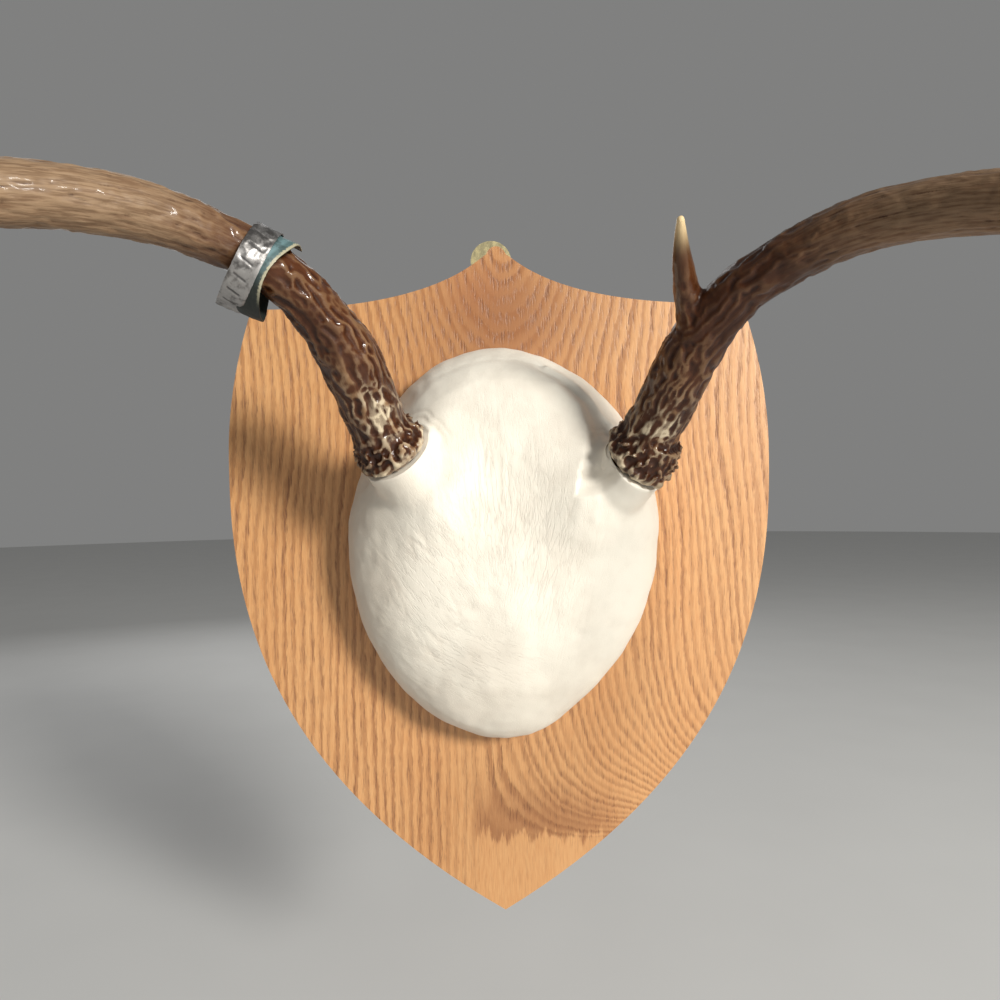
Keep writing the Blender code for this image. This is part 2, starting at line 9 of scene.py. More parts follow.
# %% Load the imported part
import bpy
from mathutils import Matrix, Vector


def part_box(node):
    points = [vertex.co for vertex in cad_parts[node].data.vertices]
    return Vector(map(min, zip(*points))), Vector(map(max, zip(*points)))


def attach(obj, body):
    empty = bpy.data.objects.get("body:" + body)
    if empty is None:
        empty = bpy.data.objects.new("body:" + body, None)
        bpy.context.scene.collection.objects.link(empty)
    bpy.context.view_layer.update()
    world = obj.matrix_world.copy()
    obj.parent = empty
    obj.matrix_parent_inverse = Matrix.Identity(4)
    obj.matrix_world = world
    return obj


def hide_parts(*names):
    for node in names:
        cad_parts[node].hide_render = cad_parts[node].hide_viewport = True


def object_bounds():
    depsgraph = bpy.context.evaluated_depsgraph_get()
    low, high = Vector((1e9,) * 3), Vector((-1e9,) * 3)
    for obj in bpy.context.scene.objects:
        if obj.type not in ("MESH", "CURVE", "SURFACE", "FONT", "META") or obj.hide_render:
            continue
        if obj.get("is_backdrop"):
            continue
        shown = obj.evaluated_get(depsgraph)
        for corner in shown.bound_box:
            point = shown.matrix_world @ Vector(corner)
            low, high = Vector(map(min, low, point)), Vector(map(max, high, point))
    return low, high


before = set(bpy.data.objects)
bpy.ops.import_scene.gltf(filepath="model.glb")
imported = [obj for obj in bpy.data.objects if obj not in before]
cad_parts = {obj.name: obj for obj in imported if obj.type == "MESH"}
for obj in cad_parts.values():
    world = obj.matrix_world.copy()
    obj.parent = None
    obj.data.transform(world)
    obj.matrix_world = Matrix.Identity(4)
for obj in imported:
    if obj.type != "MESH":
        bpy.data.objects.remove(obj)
cad_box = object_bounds()
print("nodes:", ", ".join(sorted(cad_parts)))

# %% [markdown]
# ## Modules and units
# Blender measures in metres and a maker in millimetres. The sizes below are written in millimetres
# and multiplied by MM where they meet Blender, apart from those of the floor and the lights.

# %% Modules and units
import math
import bmesh
import bpy
import numpy as np
from mathutils import Matrix, Vector, kdtree, noise

MM = 0.001
scene = bpy.context.scene
print("a metre is", round(1 / MM), "mm")

# %% [markdown]
# ## The camera
# A camera can be matched to a photograph by hand if its focal length is known in pixels. Blender
# wants millimetres on a sensor, so the pixels are turned into a share of the sensor's width. The
# photograph was taken level, straight at the board, and rolled by less than one degree.

# %% Camera at the photograph's place
PHOTO_WIDTH = 1000
PHOTO_FOCAL = 751
SENSOR_WIDTH = 36
BOARD_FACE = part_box("shield_plaque")[0].y
CAMERA_DISTANCE = 318.5 * MM
CAMERA_PLACE = (0.2 * MM, BOARD_FACE - CAMERA_DISTANCE, -20.9 * MM)
CAMERA_ROLL = -0.863


def make_camera():
    data = bpy.data.cameras.new("photo_camera")
    data.sensor_fit = "HORIZONTAL"
    data.sensor_width = SENSOR_WIDTH
    data.lens = SENSOR_WIDTH * PHOTO_FOCAL / PHOTO_WIDTH
    data.clip_start = 10 * MM
    camera = bpy.data.objects.new("photo_camera", data)
    scene.collection.objects.link(camera)
    upright = Matrix.Rotation(math.radians(90), 4, "X")
    roll = Matrix.Rotation(math.radians(CAMERA_ROLL), 4, "Z")
    camera.matrix_world = Matrix.Translation(CAMERA_PLACE) @ upright @ roll
    scene.camera = camera
    return camera


print("lens:", round(make_camera().data.lens, 2), "mm")

# %% [markdown]
# ## One helper for every node tree
# Materials and Geometry Nodes are both trees of nodes joined by wires. Written by hand they take
# many lines, so this class wraps one socket and lets Python's own signs add the Math nodes. The
# method `node` adds anything else: its settings are set first, because some of them change which
# sockets a node has, and its sockets are filled afterwards with plain values or other wires.


# %% The wire helper
def find(sockets, key):
    """A socket by its number, its identifier or its name."""
    if isinstance(key, int):
        return sockets[key]
    for socket in sockets:
        if socket.identifier == key:
            return socket
    return sockets[key]


class Wire:
    """A socket of a node tree that can be used in sums."""

    def __init__(self, tree, socket=None):
        self.tree = tree
        self.socket = socket

    def node(self, kind, settings=None, sockets=None, out=0):
        """A new node in this tree, as the wire of one of its outputs."""
        made = self.tree.nodes.new(kind)
        for name, value in (settings or {}).items():
            setattr(made, name, value)
        for key, value in (sockets or {}).items():
            for part in value if isinstance(value, list) else [value]:
                if isinstance(part, Wire):
                    self.tree.links.new(part.socket, find(made.inputs, key))
                else:
                    find(made.inputs, key).default_value = part
        return Wire(self.tree, find(made.outputs, out) if made.outputs else None)

    def pick(self, key):
        """Another output of the node that this wire comes from."""
        return Wire(self.tree, find(self.socket.node.outputs, key))

    def maths(self, operation, *values):
        return self.node("ShaderNodeMath", {"operation": operation}, dict(enumerate(values)))

    def __add__(self, other):
        return self.maths("ADD", self, other)

    def __sub__(self, other):
        return self.maths("SUBTRACT", self, other)

    def __rsub__(self, other):
        return self.maths("SUBTRACT", other, self)

    def __mul__(self, other):
        return self.maths("MULTIPLY", self, other)

    def __truediv__(self, other):
        return self.maths("DIVIDE", self, other)

    def __pow__(self, other):
        return self.maths("POWER", self, other)

    def step(self, low, high):
        """0 below low, 1 above high and smooth between them."""
        sockets = {"Value": self, "From Min": low, "From Max": high}
        return self.node("ShaderNodeMapRange", {"interpolation_type": "SMOOTHSTEP"}, sockets)

    def mix(self, low, high):
        """A colour between two, as this wire goes from 0 to 1."""
        ends = [(*end, 1) if isinstance(end, tuple) else end for end in (low, high)]
        sockets = {"Factor_Float": self, "A_Color": ends[0], "B_Color": ends[1]}
        return self.node("ShaderNodeMix", {"data_type": "RGBA"}, sockets, "Result_Color")

    def stretched(self, x, y, z):
        """This vector with each axis multiplied."""
        return self.node("ShaderNodeVectorMath", {"operation": "MULTIPLY"}, {0: self, 1: (x, y, z)})

    def axes(self):
        """This vector's x, y and z, each as a wire."""
        first = self.node("ShaderNodeSeparateXYZ", sockets={"Vector": self})
        return first, first.pick("Y"), first.pick("Z")

    def clouds(self, scale, detail, roughness=0.5):
        """Soft noise around 0.5 at this vector."""
        sockets = {"Vector": self, "Scale": scale, "Detail": detail, "Roughness": roughness}
        return self.node("ShaderNodeTexNoise", sockets=sockets)

    def cell_edges(self, scale):
        """Distance to the nearest edge in a pattern of cells at this vector."""
        settings = {"feature": "DISTANCE_TO_EDGE"}
        return self.node("ShaderNodeTexVoronoi", settings, {"Vector": self, "Scale": scale})

    def bump(self, depth):
        """A normal from this height, where a height of 1 stands the depth proud."""
        return self.node("ShaderNodeBump", sockets={"Height": self, "Distance": depth})


print("wire helper ready")

# %% [markdown]
# ## How each finish starts and ends
# Every material here is a Principled shader. What stays the same all over is a plain number on the
# shader's socket, and what changes from place to place is a wire. The patterns read Object
# coordinates, which are the object's own metres, turned to millimetres so that a grain of wood can
# be written in the size a ruler would give.


# %% Starting and ending a material
def new_finish(name):
    """A material, its shader, and its Object coordinates in millimetres."""
    material = bpy.data.materials.new(name)
    material.use_nodes = True
    place = Wire(material.node_tree).node("ShaderNodeTexCoord", out="Object")
    return material, material.node_tree.nodes["Principled BSDF"], place.stretched(1 / MM, 1 / MM, 1 / MM)


def attribute(place, name, out="Fac"):
    """A value stored on the mesh's points."""
    return place.node("ShaderNodeAttribute", {"attribute_name": name}, out=out)


def feed(shader, plain, varying):
    """Sets the shader's plain values and joins the wires to its varying ones."""
    for name, value in plain.items():
        shader.inputs[name].default_value = value
    for name, wire in varying.items():
        wire.tree.links.new(wire.socket, shader.inputs[name])


print("finish helpers ready")

# %% [markdown]
# ## Oak
# The board is flat-sawn red oak with a satin oil finish. An image of wood would be one way to make
# it, but it would stop at the board's edges. A board is a slice through the tree's rings, so here
# each point gets one number, its distance across the rings, and a ring starts at every few
# millimetres of it. Straight lines at the left, arches under the top and a fan at the lower right
# all come from how that number grows.
# The rings also lean as they go back through the board, which draws lines along its edges.
# Each ring starts with a band of open pores and ends in dense pale wood.

# %% Distance across the rings
HEART_X = 4.0
HEART_HEIGHT = 95.0
HEART_SLOPE = 0.52
FAN_X = -12.0
FAN_TOP = -40.0
FAN_FLOOR = -166.0
FAN_POWER = 4.5
RING_TILT = 0.75
WANDER = 13
WAVER = 2.0
JITTER = 2.8


def bulge(x, z, centre, size):
    """1 at the centre of an oval, falling smoothly to 0 outside it."""
    across = (x - centre[0]) / size[0]
    up = (z - centre[1]) / size[1]
    spread = (across * across + up * up) * -1
    return spread.maths("EXPONENT", spread)


def across_rings(x, y, z, place):
    """Distance across the oak's rings, in millimetres."""
    wander = place.stretched(0.030, 0.030, 0.006).clouds(1, 2) - 0.5
    waver = place.stretched(0.24, 0.24, 0.060).clouds(1, 2) - 0.5
    jitter = place.stretched(0.9, 0.9, 0.20).clouds(1, 3, 0.6) - 0.5
    fall = (FAN_TOP - z) / (FAN_TOP - FAN_FLOOR)
    fall = fall.maths("MINIMUM", fall.maths("MAXIMUM", fall, 0.0), 0.99) ** FAN_POWER
    fan = (x - FAN_X).maths("MAXIMUM", x - FAN_X, 0.0) * fall
    sideways = x - HEART_X + wander * WANDER - fan
    arch = z.step(-60, 50) * (HEART_HEIGHT - z) * HEART_SLOPE
    flat = (sideways * sideways + arch * arch) ** 0.5 + waver * WAVER + jitter * JITTER
    return flat + (y - BOARD_FACE / MM) * RING_TILT


print("the rings lean by", RING_TILT, "mm for each mm of depth")

# %% The oak finish
RING_WIDTH = 3.8
OAK_PALE = (0.705, 0.386, 0.168)
OAK_WARM = (0.620, 0.298, 0.115)
OAK_EARLY = (0.300, 0.116, 0.042)
OAK_PORE = (0.175, 0.066, 0.026)
OAK_RED = (0.420, 0.140, 0.066)
QUIET_PLACES = (((-19, -150), (6, 60), 0.70), ((48, -125), (38, 42), 0.35))
# The first patch is a red stain under the apex; the second is painted shade over the top middle of the board.
OAK_STAINS_AND_SHADE = (((-7, 68), (15, 12), 0.40, OAK_RED), ((4, 56), (38, 30), 0.84, OAK_EARLY))


def oak_finish():
    material, shader, place = new_finish("satin_red_oak")
    x, y, z = place.axes()
    ring = across_rings(x, y, z, place) / RING_WIDTH
    phase = ring.maths("FRACT", ring)
    number = ring.maths("FLOOR", ring)
    year = number.node("ShaderNodeTexWhiteNoise", {"noise_dimensions": "1D"}, {"W": number})
    early = phase.step(0.0, 0.28) * (1 - phase.step(0.34, 0.86)) * (year * 0.5 + 0.5)

    streaks = place.stretched(0.26, 0.26, 0.045).clouds(1, 4, 0.7) - 0.5
    flame = z - FAN_FLOOR - 3 + streaks * 26
    inside = x.step(-15, -9) * (1 - x.step(30, 62))
    smoke = flame.step(-2, 2) * (1 - flame.step(2, 30)) * inside
    plain = (1 - flame.step(-4, 2)) * x.step(-15, -10)
    early = early * (1 - plain * 0.9)
    for centre, size, share in QUIET_PLACES:
        early = early * (1 - bulge(x, z, centre, size) * share)

    dashes = place.stretched(1.3, 1.3, 0.13).clouds(1, 3, 0.6)
    pores = dashes.step(0.50, 0.66) * (early * 0.80 + 0.14)
    tone = place.stretched(0.045, 0.045, 0.012).clouds(1, 3)
    fibre = place.stretched(2.2, 2.2, 0.17).clouds(1, 2)

    colour = (tone * 1.2 - 0.1 + (fibre - 0.5) * 2.2).mix(OAK_WARM, OAK_PALE)
    colour = (early * 0.70).mix(colour, OAK_EARLY)
    colour = (smoke * 0.66).mix(colour, OAK_EARLY)
    # A stain, and a painted shade at the top middle of the board.
    for centre, size, share, stain_and_shade in OAK_STAINS_AND_SHADE:
        colour = (bulge(x, z, centre, size) * share).mix(colour, stain_and_shade)
    colour = (pores * 0.72).mix(colour, OAK_PORE)
    height = fibre * 0.15 - pores - early * 0.35
    feed(
        shader,
        {"Specular IOR Level": 0.5, "Coat Roughness": 0.28, "Coat Weight": 0.15},
        {
            "Base Color": colour,
            "Roughness": pores * 0.22 + 0.42 - early * 0.05,
            "Normal": height.bump(0.10 * MM),
        },
    )
    return material


oak = oak_finish()
print("oak rings every", RING_WIDTH, "mm")

# %% [markdown]
# ## Brass
# The hanger is stamped from thin brass sheet that has gone dull with handling. It is metal, so its
# colour is in the reflection: a soft cloud of tarnish and fine rolling lines change how rough and
# how brown it is. Both are noise, once even and once stretched along the plate, which needs no
# image and has no seam.

# %% The brass finish
BRASS_BRIGHT = (0.86, 0.75, 0.44)
BRASS_DULL = (0.50, 0.42, 0.20)


def brass_finish():
    material, shader, place = new_finish("handled_brass")
    rolled = place.stretched(9, 9, 0.5).clouds(1, 2)
    tarnish = place.clouds(0.28, 4, 0.6).step(0.40, 0.72)
    colour = (tarnish * 0.75).mix(BRASS_BRIGHT, BRASS_DULL)
    feed(
        shader,
        {"Metallic": 1.0},
        {
            "Base Color": colour,
            "Roughness": tarnish * 0.22 + rolled * 0.10 + 0.26,
            "Normal": rolled.bump(0.012 * MM),
        },
    )
    return material


brass = brass_finish()
print("brass ready")

# %% [markdown]
# ## White leather
# The cover is thin tanned hide, stretched on wet. Its colour is nearly even, with faint warm and
# cool clouds, and with painted shade on its left flank and lower end. The wrinkles are carved into the
# mesh further down, and there each point remembers how deep it lies in a crease, so the material can
# paint a little shade into the creases. Only the grain of the skin, finer than the mesh, is left to a bump.

# %% The leather finish
LEATHER_WHITE = (0.900, 0.845, 0.735)
LEATHER_COOL = (0.820, 0.755, 0.650)
# The colour of painted shade, on the left flank, the lower end and in the creases.
LEATHER_SHADE = (0.500, 0.395, 0.290)
CREASE_REGIONS = (
    ((-27, -48), (20, 30), 0.62, 0.9, 8),
    ((0, -20), (26, 34), 0.08, 1.0, 7),
    ((16, -44), (18, 36), -0.25, 1.1, 8),
    ((-14, -82), (26, 16), 1.10, 0.9, 8),
)


def fine_creases(place, x, z):
    """Hairline wrinkles that run the way the hide was pulled in each region."""
    total = 0.0
    for centre, size, turn, width, length in CREASE_REGIONS:
        spun = place.node(
            "ShaderNodeVectorRotate", {"rotation_type": "Y_AXIS"}, {"Vector": place, "Angle": turn}
        )
        lines = spun.stretched(0.5 / width, 0.12, 0.5 / length).clouds(1, 3, 0.55) - 0.5
        lines = 1 - lines.maths("ABSOLUTE", lines).step(0.0, 0.030)
        total = lines * bulge(x, z, centre, size) + total
    return total


def leather_finish():
    material, shader, place = new_finish("white_hide")
    x, _, z = place.axes()
    clouds = place.clouds(0.045, 4, 0.6)
    hairlines = fine_creases(place, x, z)
    colour = clouds.step(0.38, 0.70).mix(LEATHER_WHITE, LEATHER_COOL)
    # Painted shade: darker on the cap's left flank, and by a little at its lower end.
    painted_shade = 1 - x.step(-54, -28)
    painted_shade = painted_shade.maths("MAXIMUM", painted_shade, (1 - z.step(-102, -72)) * 0.55)
    colour = (painted_shade * 0.30).mix(colour, LEATHER_SHADE)
    # Painted shade in the creases and the hairlines.
    colour = (attribute(place, "crease") * 0.26 + hairlines * 0.07).mix(colour, LEATHER_SHADE)
    skin = place.cell_edges(1.5).step(0.0, 0.22)
    pores = place.clouds(2.6, 3, 0.65)
    feed(
        shader,
        {"Specular IOR Level": 0.42, "Sheen Weight": 0.08, "Sheen Roughness": 0.5},
        {
            "Base Color": colour,
            "Roughness": pores * 0.16 + 0.46,
            "Normal": (skin * 0.14 + pores * 0.6 - hairlines * 0.8).bump(0.11 * MM),
        },
    )
    return material


leather = leather_finish()
print("leather ready")

# %% [markdown]
# ## Antler
# Antler is bone. Blood vessels once ran along it, and they left a net of thin pale ridges round
# long dark hollows. The raised places are rubbed pale, the hollows stay brown, and the whole is
# lacquered. The mesh stores how high each point stands, how pale its region is and where it lies
# along the beam, so that the fine fibres in this material follow the bend of the antler.

# %% The antler finish
ANTLER_HOLLOW = (0.036, 0.0105, 0.0035)
ANTLER_BROWN = (0.078, 0.0245, 0.0080)
ANTLER_TAN = (0.265, 0.152, 0.076)
ANTLER_CREAM = (0.640, 0.530, 0.370)
ANTLER_WORN = (0.320, 0.215, 0.130)
ANTLER_IVORY = (0.780, 0.590, 0.330)


def antler_finish():
    material, shader, place = new_finish("lacquered_antler")
    stored = ("height", "foot", "pale", "worn", "tip")
    height, foot, pale, worn, tip = (attribute(place, name) for name in stored)
    along = attribute(place, "along", "Vector")
    fibre = along.stretched(1.3, 1.3, 0.13).clouds(1, 3, 0.6)
    blotch = along.stretched(0.14, 0.14, 0.04).clouds(1, 3)
    fine = along.stretched(3.2, 3.2, 0.7).clouds(1, 2)

    level = height + (fibre - 0.5) * 0.50 + (fine - 0.5) * 0.20
    low = level.step(0.02, 0.44)
    high = level.step(0.50, 1.02)
    rubbed = blotch.step(0.42, 0.60) * 0.72 + 0.28
    ground = (low * (blotch.step(0.36, 0.62) * 0.6 + 0.4)).mix(ANTLER_HOLLOW, ANTLER_BROWN)
    colour = (high * rubbed * (foot * 0.74 + 0.24)).mix(ground, ANTLER_TAN)
    colour = (worn * (low * 0.46 + fibre.step(0.36, 0.62) * 0.44)).mix(colour, ANTLER_WORN)
    colour = (pale * high * 0.95 + pale.step(0.55, 1.0) * low * 0.5).mix(colour, ANTLER_CREAM)
    colour = (tip * tip * (fibre * 0.3 + 0.80)).mix(colour, ANTLER_IVORY)
    feed(
        shader,
        {"Specular IOR Level": 0.12, "Coat Roughness": 0.06},
        {
            "Base Color": colour,
            "Roughness": fine * 0.16 + 0.24 + worn * 0.08,
            "Coat Weight": (1 - worn * 0.75) * 0.42,
            "Normal": (fibre * 0.6 + fine * 0.4).bump(0.16 * MM),
        },
    )
    return material


antler_look = antler_finish()
print("antler ready")

# %% [markdown]
# ## Tag metal
# The strip is thin plated metal: silver on the outside of its first turn, rubbed and smudged, and
# blue-green with cream edges at the open end of its second turn. Where that turn runs under the beam,
# and on the whole inside, it is nearly black: dark paint with painted shade.
# The mesh stores how far round each point lies and whether it faces in or out, which is all that
# the material needs to tell the four surfaces apart.

# %% The tag finish
TAG_SILVER = (0.42, 0.405, 0.395)
TAG_SMUDGE = (0.10, 0.094, 0.090)
TAG_INK = (0.035, 0.032, 0.032)
TAG_TEAL = (0.070, 0.125, 0.130)
TAG_BLUE = (0.140, 0.235, 0.250)
TAG_CREAM = (0.38, 0.35, 0.24)
# Nearly black: dark paint with painted shade on it, on the strip's inside and under the beam.
TAG_DARK_PAINT_AND_SHADE = (0.011, 0.015, 0.012)


def tag_finish():
    material, shader, place = new_finish("stamped_tag_metal")
    stored = ("turn", "edge", "inside", "stroke")
    turn, edge, inside, stroke = (attribute(place, name) for name in stored)
    smudge = place.clouds(0.30, 4, 0.65)
    scratch = place.stretched(2.2, 0.5, 1.4).clouds(1, 4, 0.7)
    painted = turn.step(0.62, 0.70)
    open_end = turn.step(1.18, 1.30)

    crumpled = turn.step(0.22, 0.34) * 0.12
    silver = (smudge + crumpled).step(0.44, 0.70) * 0.85 + (scratch - 0.5) * 0.7
    silver = silver.mix(TAG_SILVER, TAG_SMUDGE)
    silver = (stroke * 0.92).mix(silver, TAG_INK)
    ridge = 1 - (edge - 0.2).maths("ABSOLUTE", edge - 0.2).step(0.08, 0.36)
    paint = (ridge * 0.8).mix(TAG_TEAL, TAG_BLUE)
    paint = (smudge.step(0.50, 0.62) * 0.45).mix(paint, TAG_DARK_PAINT_AND_SHADE)
    # The painted turn is nearly black where it runs under the beam, up to its open end: dark paint with
    # painted shade.
    paint = open_end.mix(TAG_DARK_PAINT_AND_SHADE, paint)
    ragged = (edge + (scratch - 0.5) * 0.5).step(0.76, 0.88) * turn.step(1.10, 1.22)
    paint = ragged.mix(paint, TAG_CREAM)
    colour = painted.mix(silver, paint)
    # The inside is nearly black: dark paint with painted shade.
    colour = inside.mix(colour, TAG_DARK_PAINT_AND_SHADE)
    bare = (1 - painted) * (1 - inside)
    feed(
        shader,
        {"Specular IOR Level": 0.5},
        {
            "Base Color": colour,
            "Metallic": bare * (1 - stroke * 0.8) * 0.92,
            "Roughness": smudge * 0.24 + 0.30 + painted * 0.10,
            "Normal": scratch.bump(0.03 * MM),
        },
    )
    return material


tag_look = tag_finish()
print("tag metal ready")

# %% [markdown]
# ## Tools for the meshes
# A modifier only shows its result. To keep it, the evaluated object is asked for a new mesh, and
# that mesh goes on a fresh object at the origin, unturned and unscaled, as every finished piece
# here does. An outline is a flat curve with handles, laid in the board's plane and given a
# thickness.

# %% Making meshes plain
SHARP_ANGLE = 35


def add(name, data):
    """A new object in the scene."""
    obj = bpy.data.objects.new(name, data)
    scene.collection.objects.link(obj)
    return obj


def settled(obj, name, material):
    """The plain mesh of what an object shows, on a new object at the origin."""
    bpy.context.view_layer.update()
    evaluated = obj.evaluated_get(bpy.context.evaluated_depsgraph_get())
    mesh = bpy.data.meshes.new_from_object(evaluated)
    mesh.transform(obj.matrix_world)
    bpy.data.objects.remove(obj)
    mesh.materials.clear()
    mesh.materials.append(material)
    return add(name, mesh)


def welded(obj, distance=0.001 * MM):
    """Closes a mesh's doubled points and turns its faces outwards."""
    bm = bmesh.new()
    bm.from_mesh(obj.data)
    bmesh.ops.remove_doubles(bm, verts=bm.verts, dist=distance)
    bmesh.ops.recalc_face_normals(bm, faces=bm.faces)
    bm.to_mesh(obj.data)
    bm.free()
    return obj


def smooth(obj, angle=SHARP_ANGLE):
    """Shades a piece smooth, and keeps the edges sharp that turn by more than the angle."""
    obj.data.shade_smooth()
    obj.data.set_sharp_from_angle(angle=math.radians(angle))
    return obj


def flat_sides(obj):
    """Shades a plate's front and back flat, so its rounded edge doesn't tint them."""
    for face in obj.data.polygons:
        if abs(face.normal.y) > 0.9999:
            face.use_smooth = False
    return obj


def closed_report(obj):
    """Prints a piece's triangles and how many of its edges aren't shared by exactly two faces."""
    bm = bmesh.new()
    bm.from_mesh(obj.data)
    loose = sum(len(edge.link_faces) != 2 for edge in bm.edges)
    triangles = sum(len(face.verts) - 2 for face in bm.faces)
    print(f"{obj.name}: {triangles} triangles, {loose} open edges, volume {bm.calc_volume() * 1e9:.0f} mm3")
    bm.free()


print("mesh tools ready")

# %% Plates with rounded edges and holes
BEVEL_ANGLE = 60


def plate(name, points, back, front, steps, material):
    """A plate from points with handles (co, left, right), between two places on Y."""
    curve = bpy.data.curves.new(name, "CURVE")
    curve.dimensions = "2D"
    curve.fill_mode = "BOTH"
    curve.resolution_u = steps
    curve.extrude = (back - front) / 2
    spline = curve.splines.new("BEZIER")
    spline.use_cyclic_u = True
    spline.bezier_points.add(len(points) - 1)
    for bezier, (co, left, right) in zip(spline.bezier_points, points):
        bezier.handle_left_type = "FREE"
        bezier.handle_right_type = "FREE"
        bezier.co = (*co, 0)
        bezier.handle_left = (*left, 0)
        bezier.handle_right = (*right, 0)
    obj = add(f"{name}_outline", curve)
    obj.matrix_world = Matrix.Translation((0, (back + front) / 2, 0)) @ Matrix.Rotation(math.pi / 2, 4, "X")
    return welded(settled(obj, name, material))


def eased(obj, width, segments):
    """Rounds a plate's sharp edges."""
    edge = obj.modifiers.new("eased edge", "BEVEL")
    edge.width = width
    edge.segments = segments
    edge.limit_method = "ANGLE"
    edge.angle_limit = math.radians(BEVEL_ANGLE)
    return obj


def cut(obj, cutters):
    """Takes the cutters out of an object, and the cutters out of the scene."""
    for cutter in cutters:
        hole = obj.modifiers.new(f"cut {cutter.name}", "BOOLEAN")
        hole.operation = "DIFFERENCE"
        hole.object = cutter
    name, material = obj.name, obj.data.materials[0]
    obj.name = f"{name}_uncut"
    piece = settled(obj, name, material)
    for cutter in cutters:
        bpy.data.objects.remove(cutter)
    return piece


print("plates ready")

# %% Strips and rods for the cutters
CUTTER_SIDES = 48


def strip(centre_x, low_z, high_z, radius):
    """Points with handles for an upright strip with half-round ends."""
    pull = radius * 4 / 3 * (math.sqrt(2) - 1)
    low, high = low_z + radius, high_z - radius
    right, left = centre_x + radius, centre_x - radius
    return [
        ((right, low), (right, low - pull), (right, high)),
        ((right, high), (right, low), (right, high + pull)),
        ((centre_x, high_z), (centre_x + pull, high_z), (centre_x - pull, high_z)),
        ((left, high), (left, high + pull), (left, low)),
        ((left, low), (left, high), (left, low - pull)),
        ((centre_x, low_z), (centre_x - pull, low_z), (centre_x + pull, low_z)),
    ]


def rod(name, radius, place, depth, top_radius=None):
    """A round cutter that goes into the board from behind."""
    bm = bmesh.new()
    far = radius if top_radius is None else top_radius
    sizes = {"radius1": radius, "radius2": far, "depth": depth}
    bmesh.ops.create_cone(bm, cap_ends=True, segments=CUTTER_SIDES, **sizes)
    mesh = bpy.data.meshes.new(name)
    bm.to_mesh(mesh)
    bm.free()
    mesh.transform(Matrix.Translation((0, 0, depth / 2)))
    obj = add(name, mesh)
    obj.matrix_world = Matrix.Translation(place) @ Matrix.Rotation(math.pi / 2, 4, "X")
    return obj


print("cutters ready")

# %% [markdown]
# ## The oak shield
# A maker would saw the shield from one board, round its edges lightly with a router, and chop a
# shallow bed for the hanger into its back with a deeper pocket for the nail's head. Its width,
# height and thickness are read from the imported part, and the curve between them is drawn once for
# the right side and mirrored.

# %% Shield
SHOULDER_WIDTH = 208 * MM
SHOULDER_HEIGHT = 61.4 * MM
NUB_HALF_WIDTH = 4.2 * MM
NUB_HEIGHT = 3.4 * MM
EDGE_ROUND = 1.6 * MM
OUTLINE_STEPS = 40
FIT = 0.3 * MM
KEYHOLE_RADIUS = 4.2 * MM
KEYHOLE_DROP = 26 * MM
SLOT_LENGTH = 8 * MM
NAIL_POCKET_DEPTH = 7 * MM
SCREW_SHANK_RADIUS = 1.4 * MM

shield_low, shield_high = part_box("shield_plaque")
plate_low, plate_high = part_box("hanger_plate")
plate_x = (plate_low.x + plate_high.x) / 2
keyhole_z = plate_high.z - KEYHOLE_DROP
screw_boxes = [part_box(f"hanger_screw_{number}") for number in (1, 2)]
screw_heights = [(low.z + high.z) / 2 for low, high in screw_boxes]
screw_depth = screw_boxes[0][1].y - screw_boxes[0][0].y


def shield_points():
    """The right half from the apex down to the point, then its mirror image back up."""
    half, shoulder = shield_high.x, SHOULDER_WIDTH / 2
    apex, point = shield_high.z, shield_low.z
    nub = (NUB_HALF_WIDTH, apex - NUB_HEIGHT)
    fall = SHOULDER_HEIGHT - nub[1]
    side = (shoulder + (half - shoulder) * 0.62, SHOULDER_HEIGHT * 0.68)
    right = [
        ((0, apex), None, (nub[0] * 0.55, apex)),
        (nub, (nub[0] * 0.82, nub[1] + NUB_HEIGHT * 0.5), (nub[0] * 2.2, nub[1] + fall * 0.13)),
        ((shoulder, SHOULDER_HEIGHT), (shoulder * 0.26, nub[1] + fall * 1.08), side),
        ((half, 0), (half, SHOULDER_HEIGHT * 0.33), (half, point * 0.232)),
        ((0, point), (half * 0.992, point * 0.657), None),
    ]
    points = []
    for co, left, after in right:
        mirrored = (-after[0], after[1]) if left is None else left
        follows = (-left[0], left[1]) if after is None else after
        points.append((co, mirrored, follows))
    for co, left, after in reversed(right[1:-1]):
        points.append(((-co[0], co[1]), (-after[0], after[1]), (-left[0], left[1])))
    return points


def make_shield():
    """The board with its edge eased, a bed for the hanger, a pocket and two pilot holes."""
    shield = plate("oak_shield", shield_points(), 0, shield_low.y, OUTLINE_STEPS, oak)
    eased(shield, EDGE_ROUND, 5)
    bed = strip(plate_x, plate_low.z - FIT, plate_high.z + FIT, (plate_high.x - plate_low.x) / 2 + FIT)
    pocket = strip(
        plate_x,
        keyhole_z - KEYHOLE_RADIUS - FIT,
        keyhole_z + SLOT_LENGTH + KEYHOLE_RADIUS,
        KEYHOLE_RADIUS + FIT,
    )
    cutters = [
        plate("hanger_bed", bed, 2 * FIT, plate_low.y - FIT, OUTLINE_STEPS, oak),
        plate("nail_pocket", pocket, 2 * FIT, -NAIL_POCKET_DEPTH, OUTLINE_STEPS, oak),
    ]
    for z in screw_heights:
        cutters.append(rod("pilot", SCREW_SHANK_RADIUS + FIT, (plate_x, 0, z), screw_depth + 2 * FIT))
    return flat_sides(smooth(welded(cut(shield, cutters))))


oak_shield = make_shield()
closed_report(oak_shield)

# %% [markdown]
# ## The keyhole hanger
# This is a stamped plate: a strip with round ends, a keyhole for the nail and two countersunk
# holes. Stamping leaves a soft edge all round, which catches the light above the shield's apex. The
# holes could be drawn into the outline, but a countersink is wider on one side than on the other, so
# Boolean modifiers cut them all with plain solids.

# %% Hanger plate
PLATE_EDGE = 0.28 * MM
SLOT_RADIUS = 2.1 * MM
SCREW_HEAD_RADIUS = 3.1 * MM
SCREW_HEAD_DEPTH = 1.0 * MM


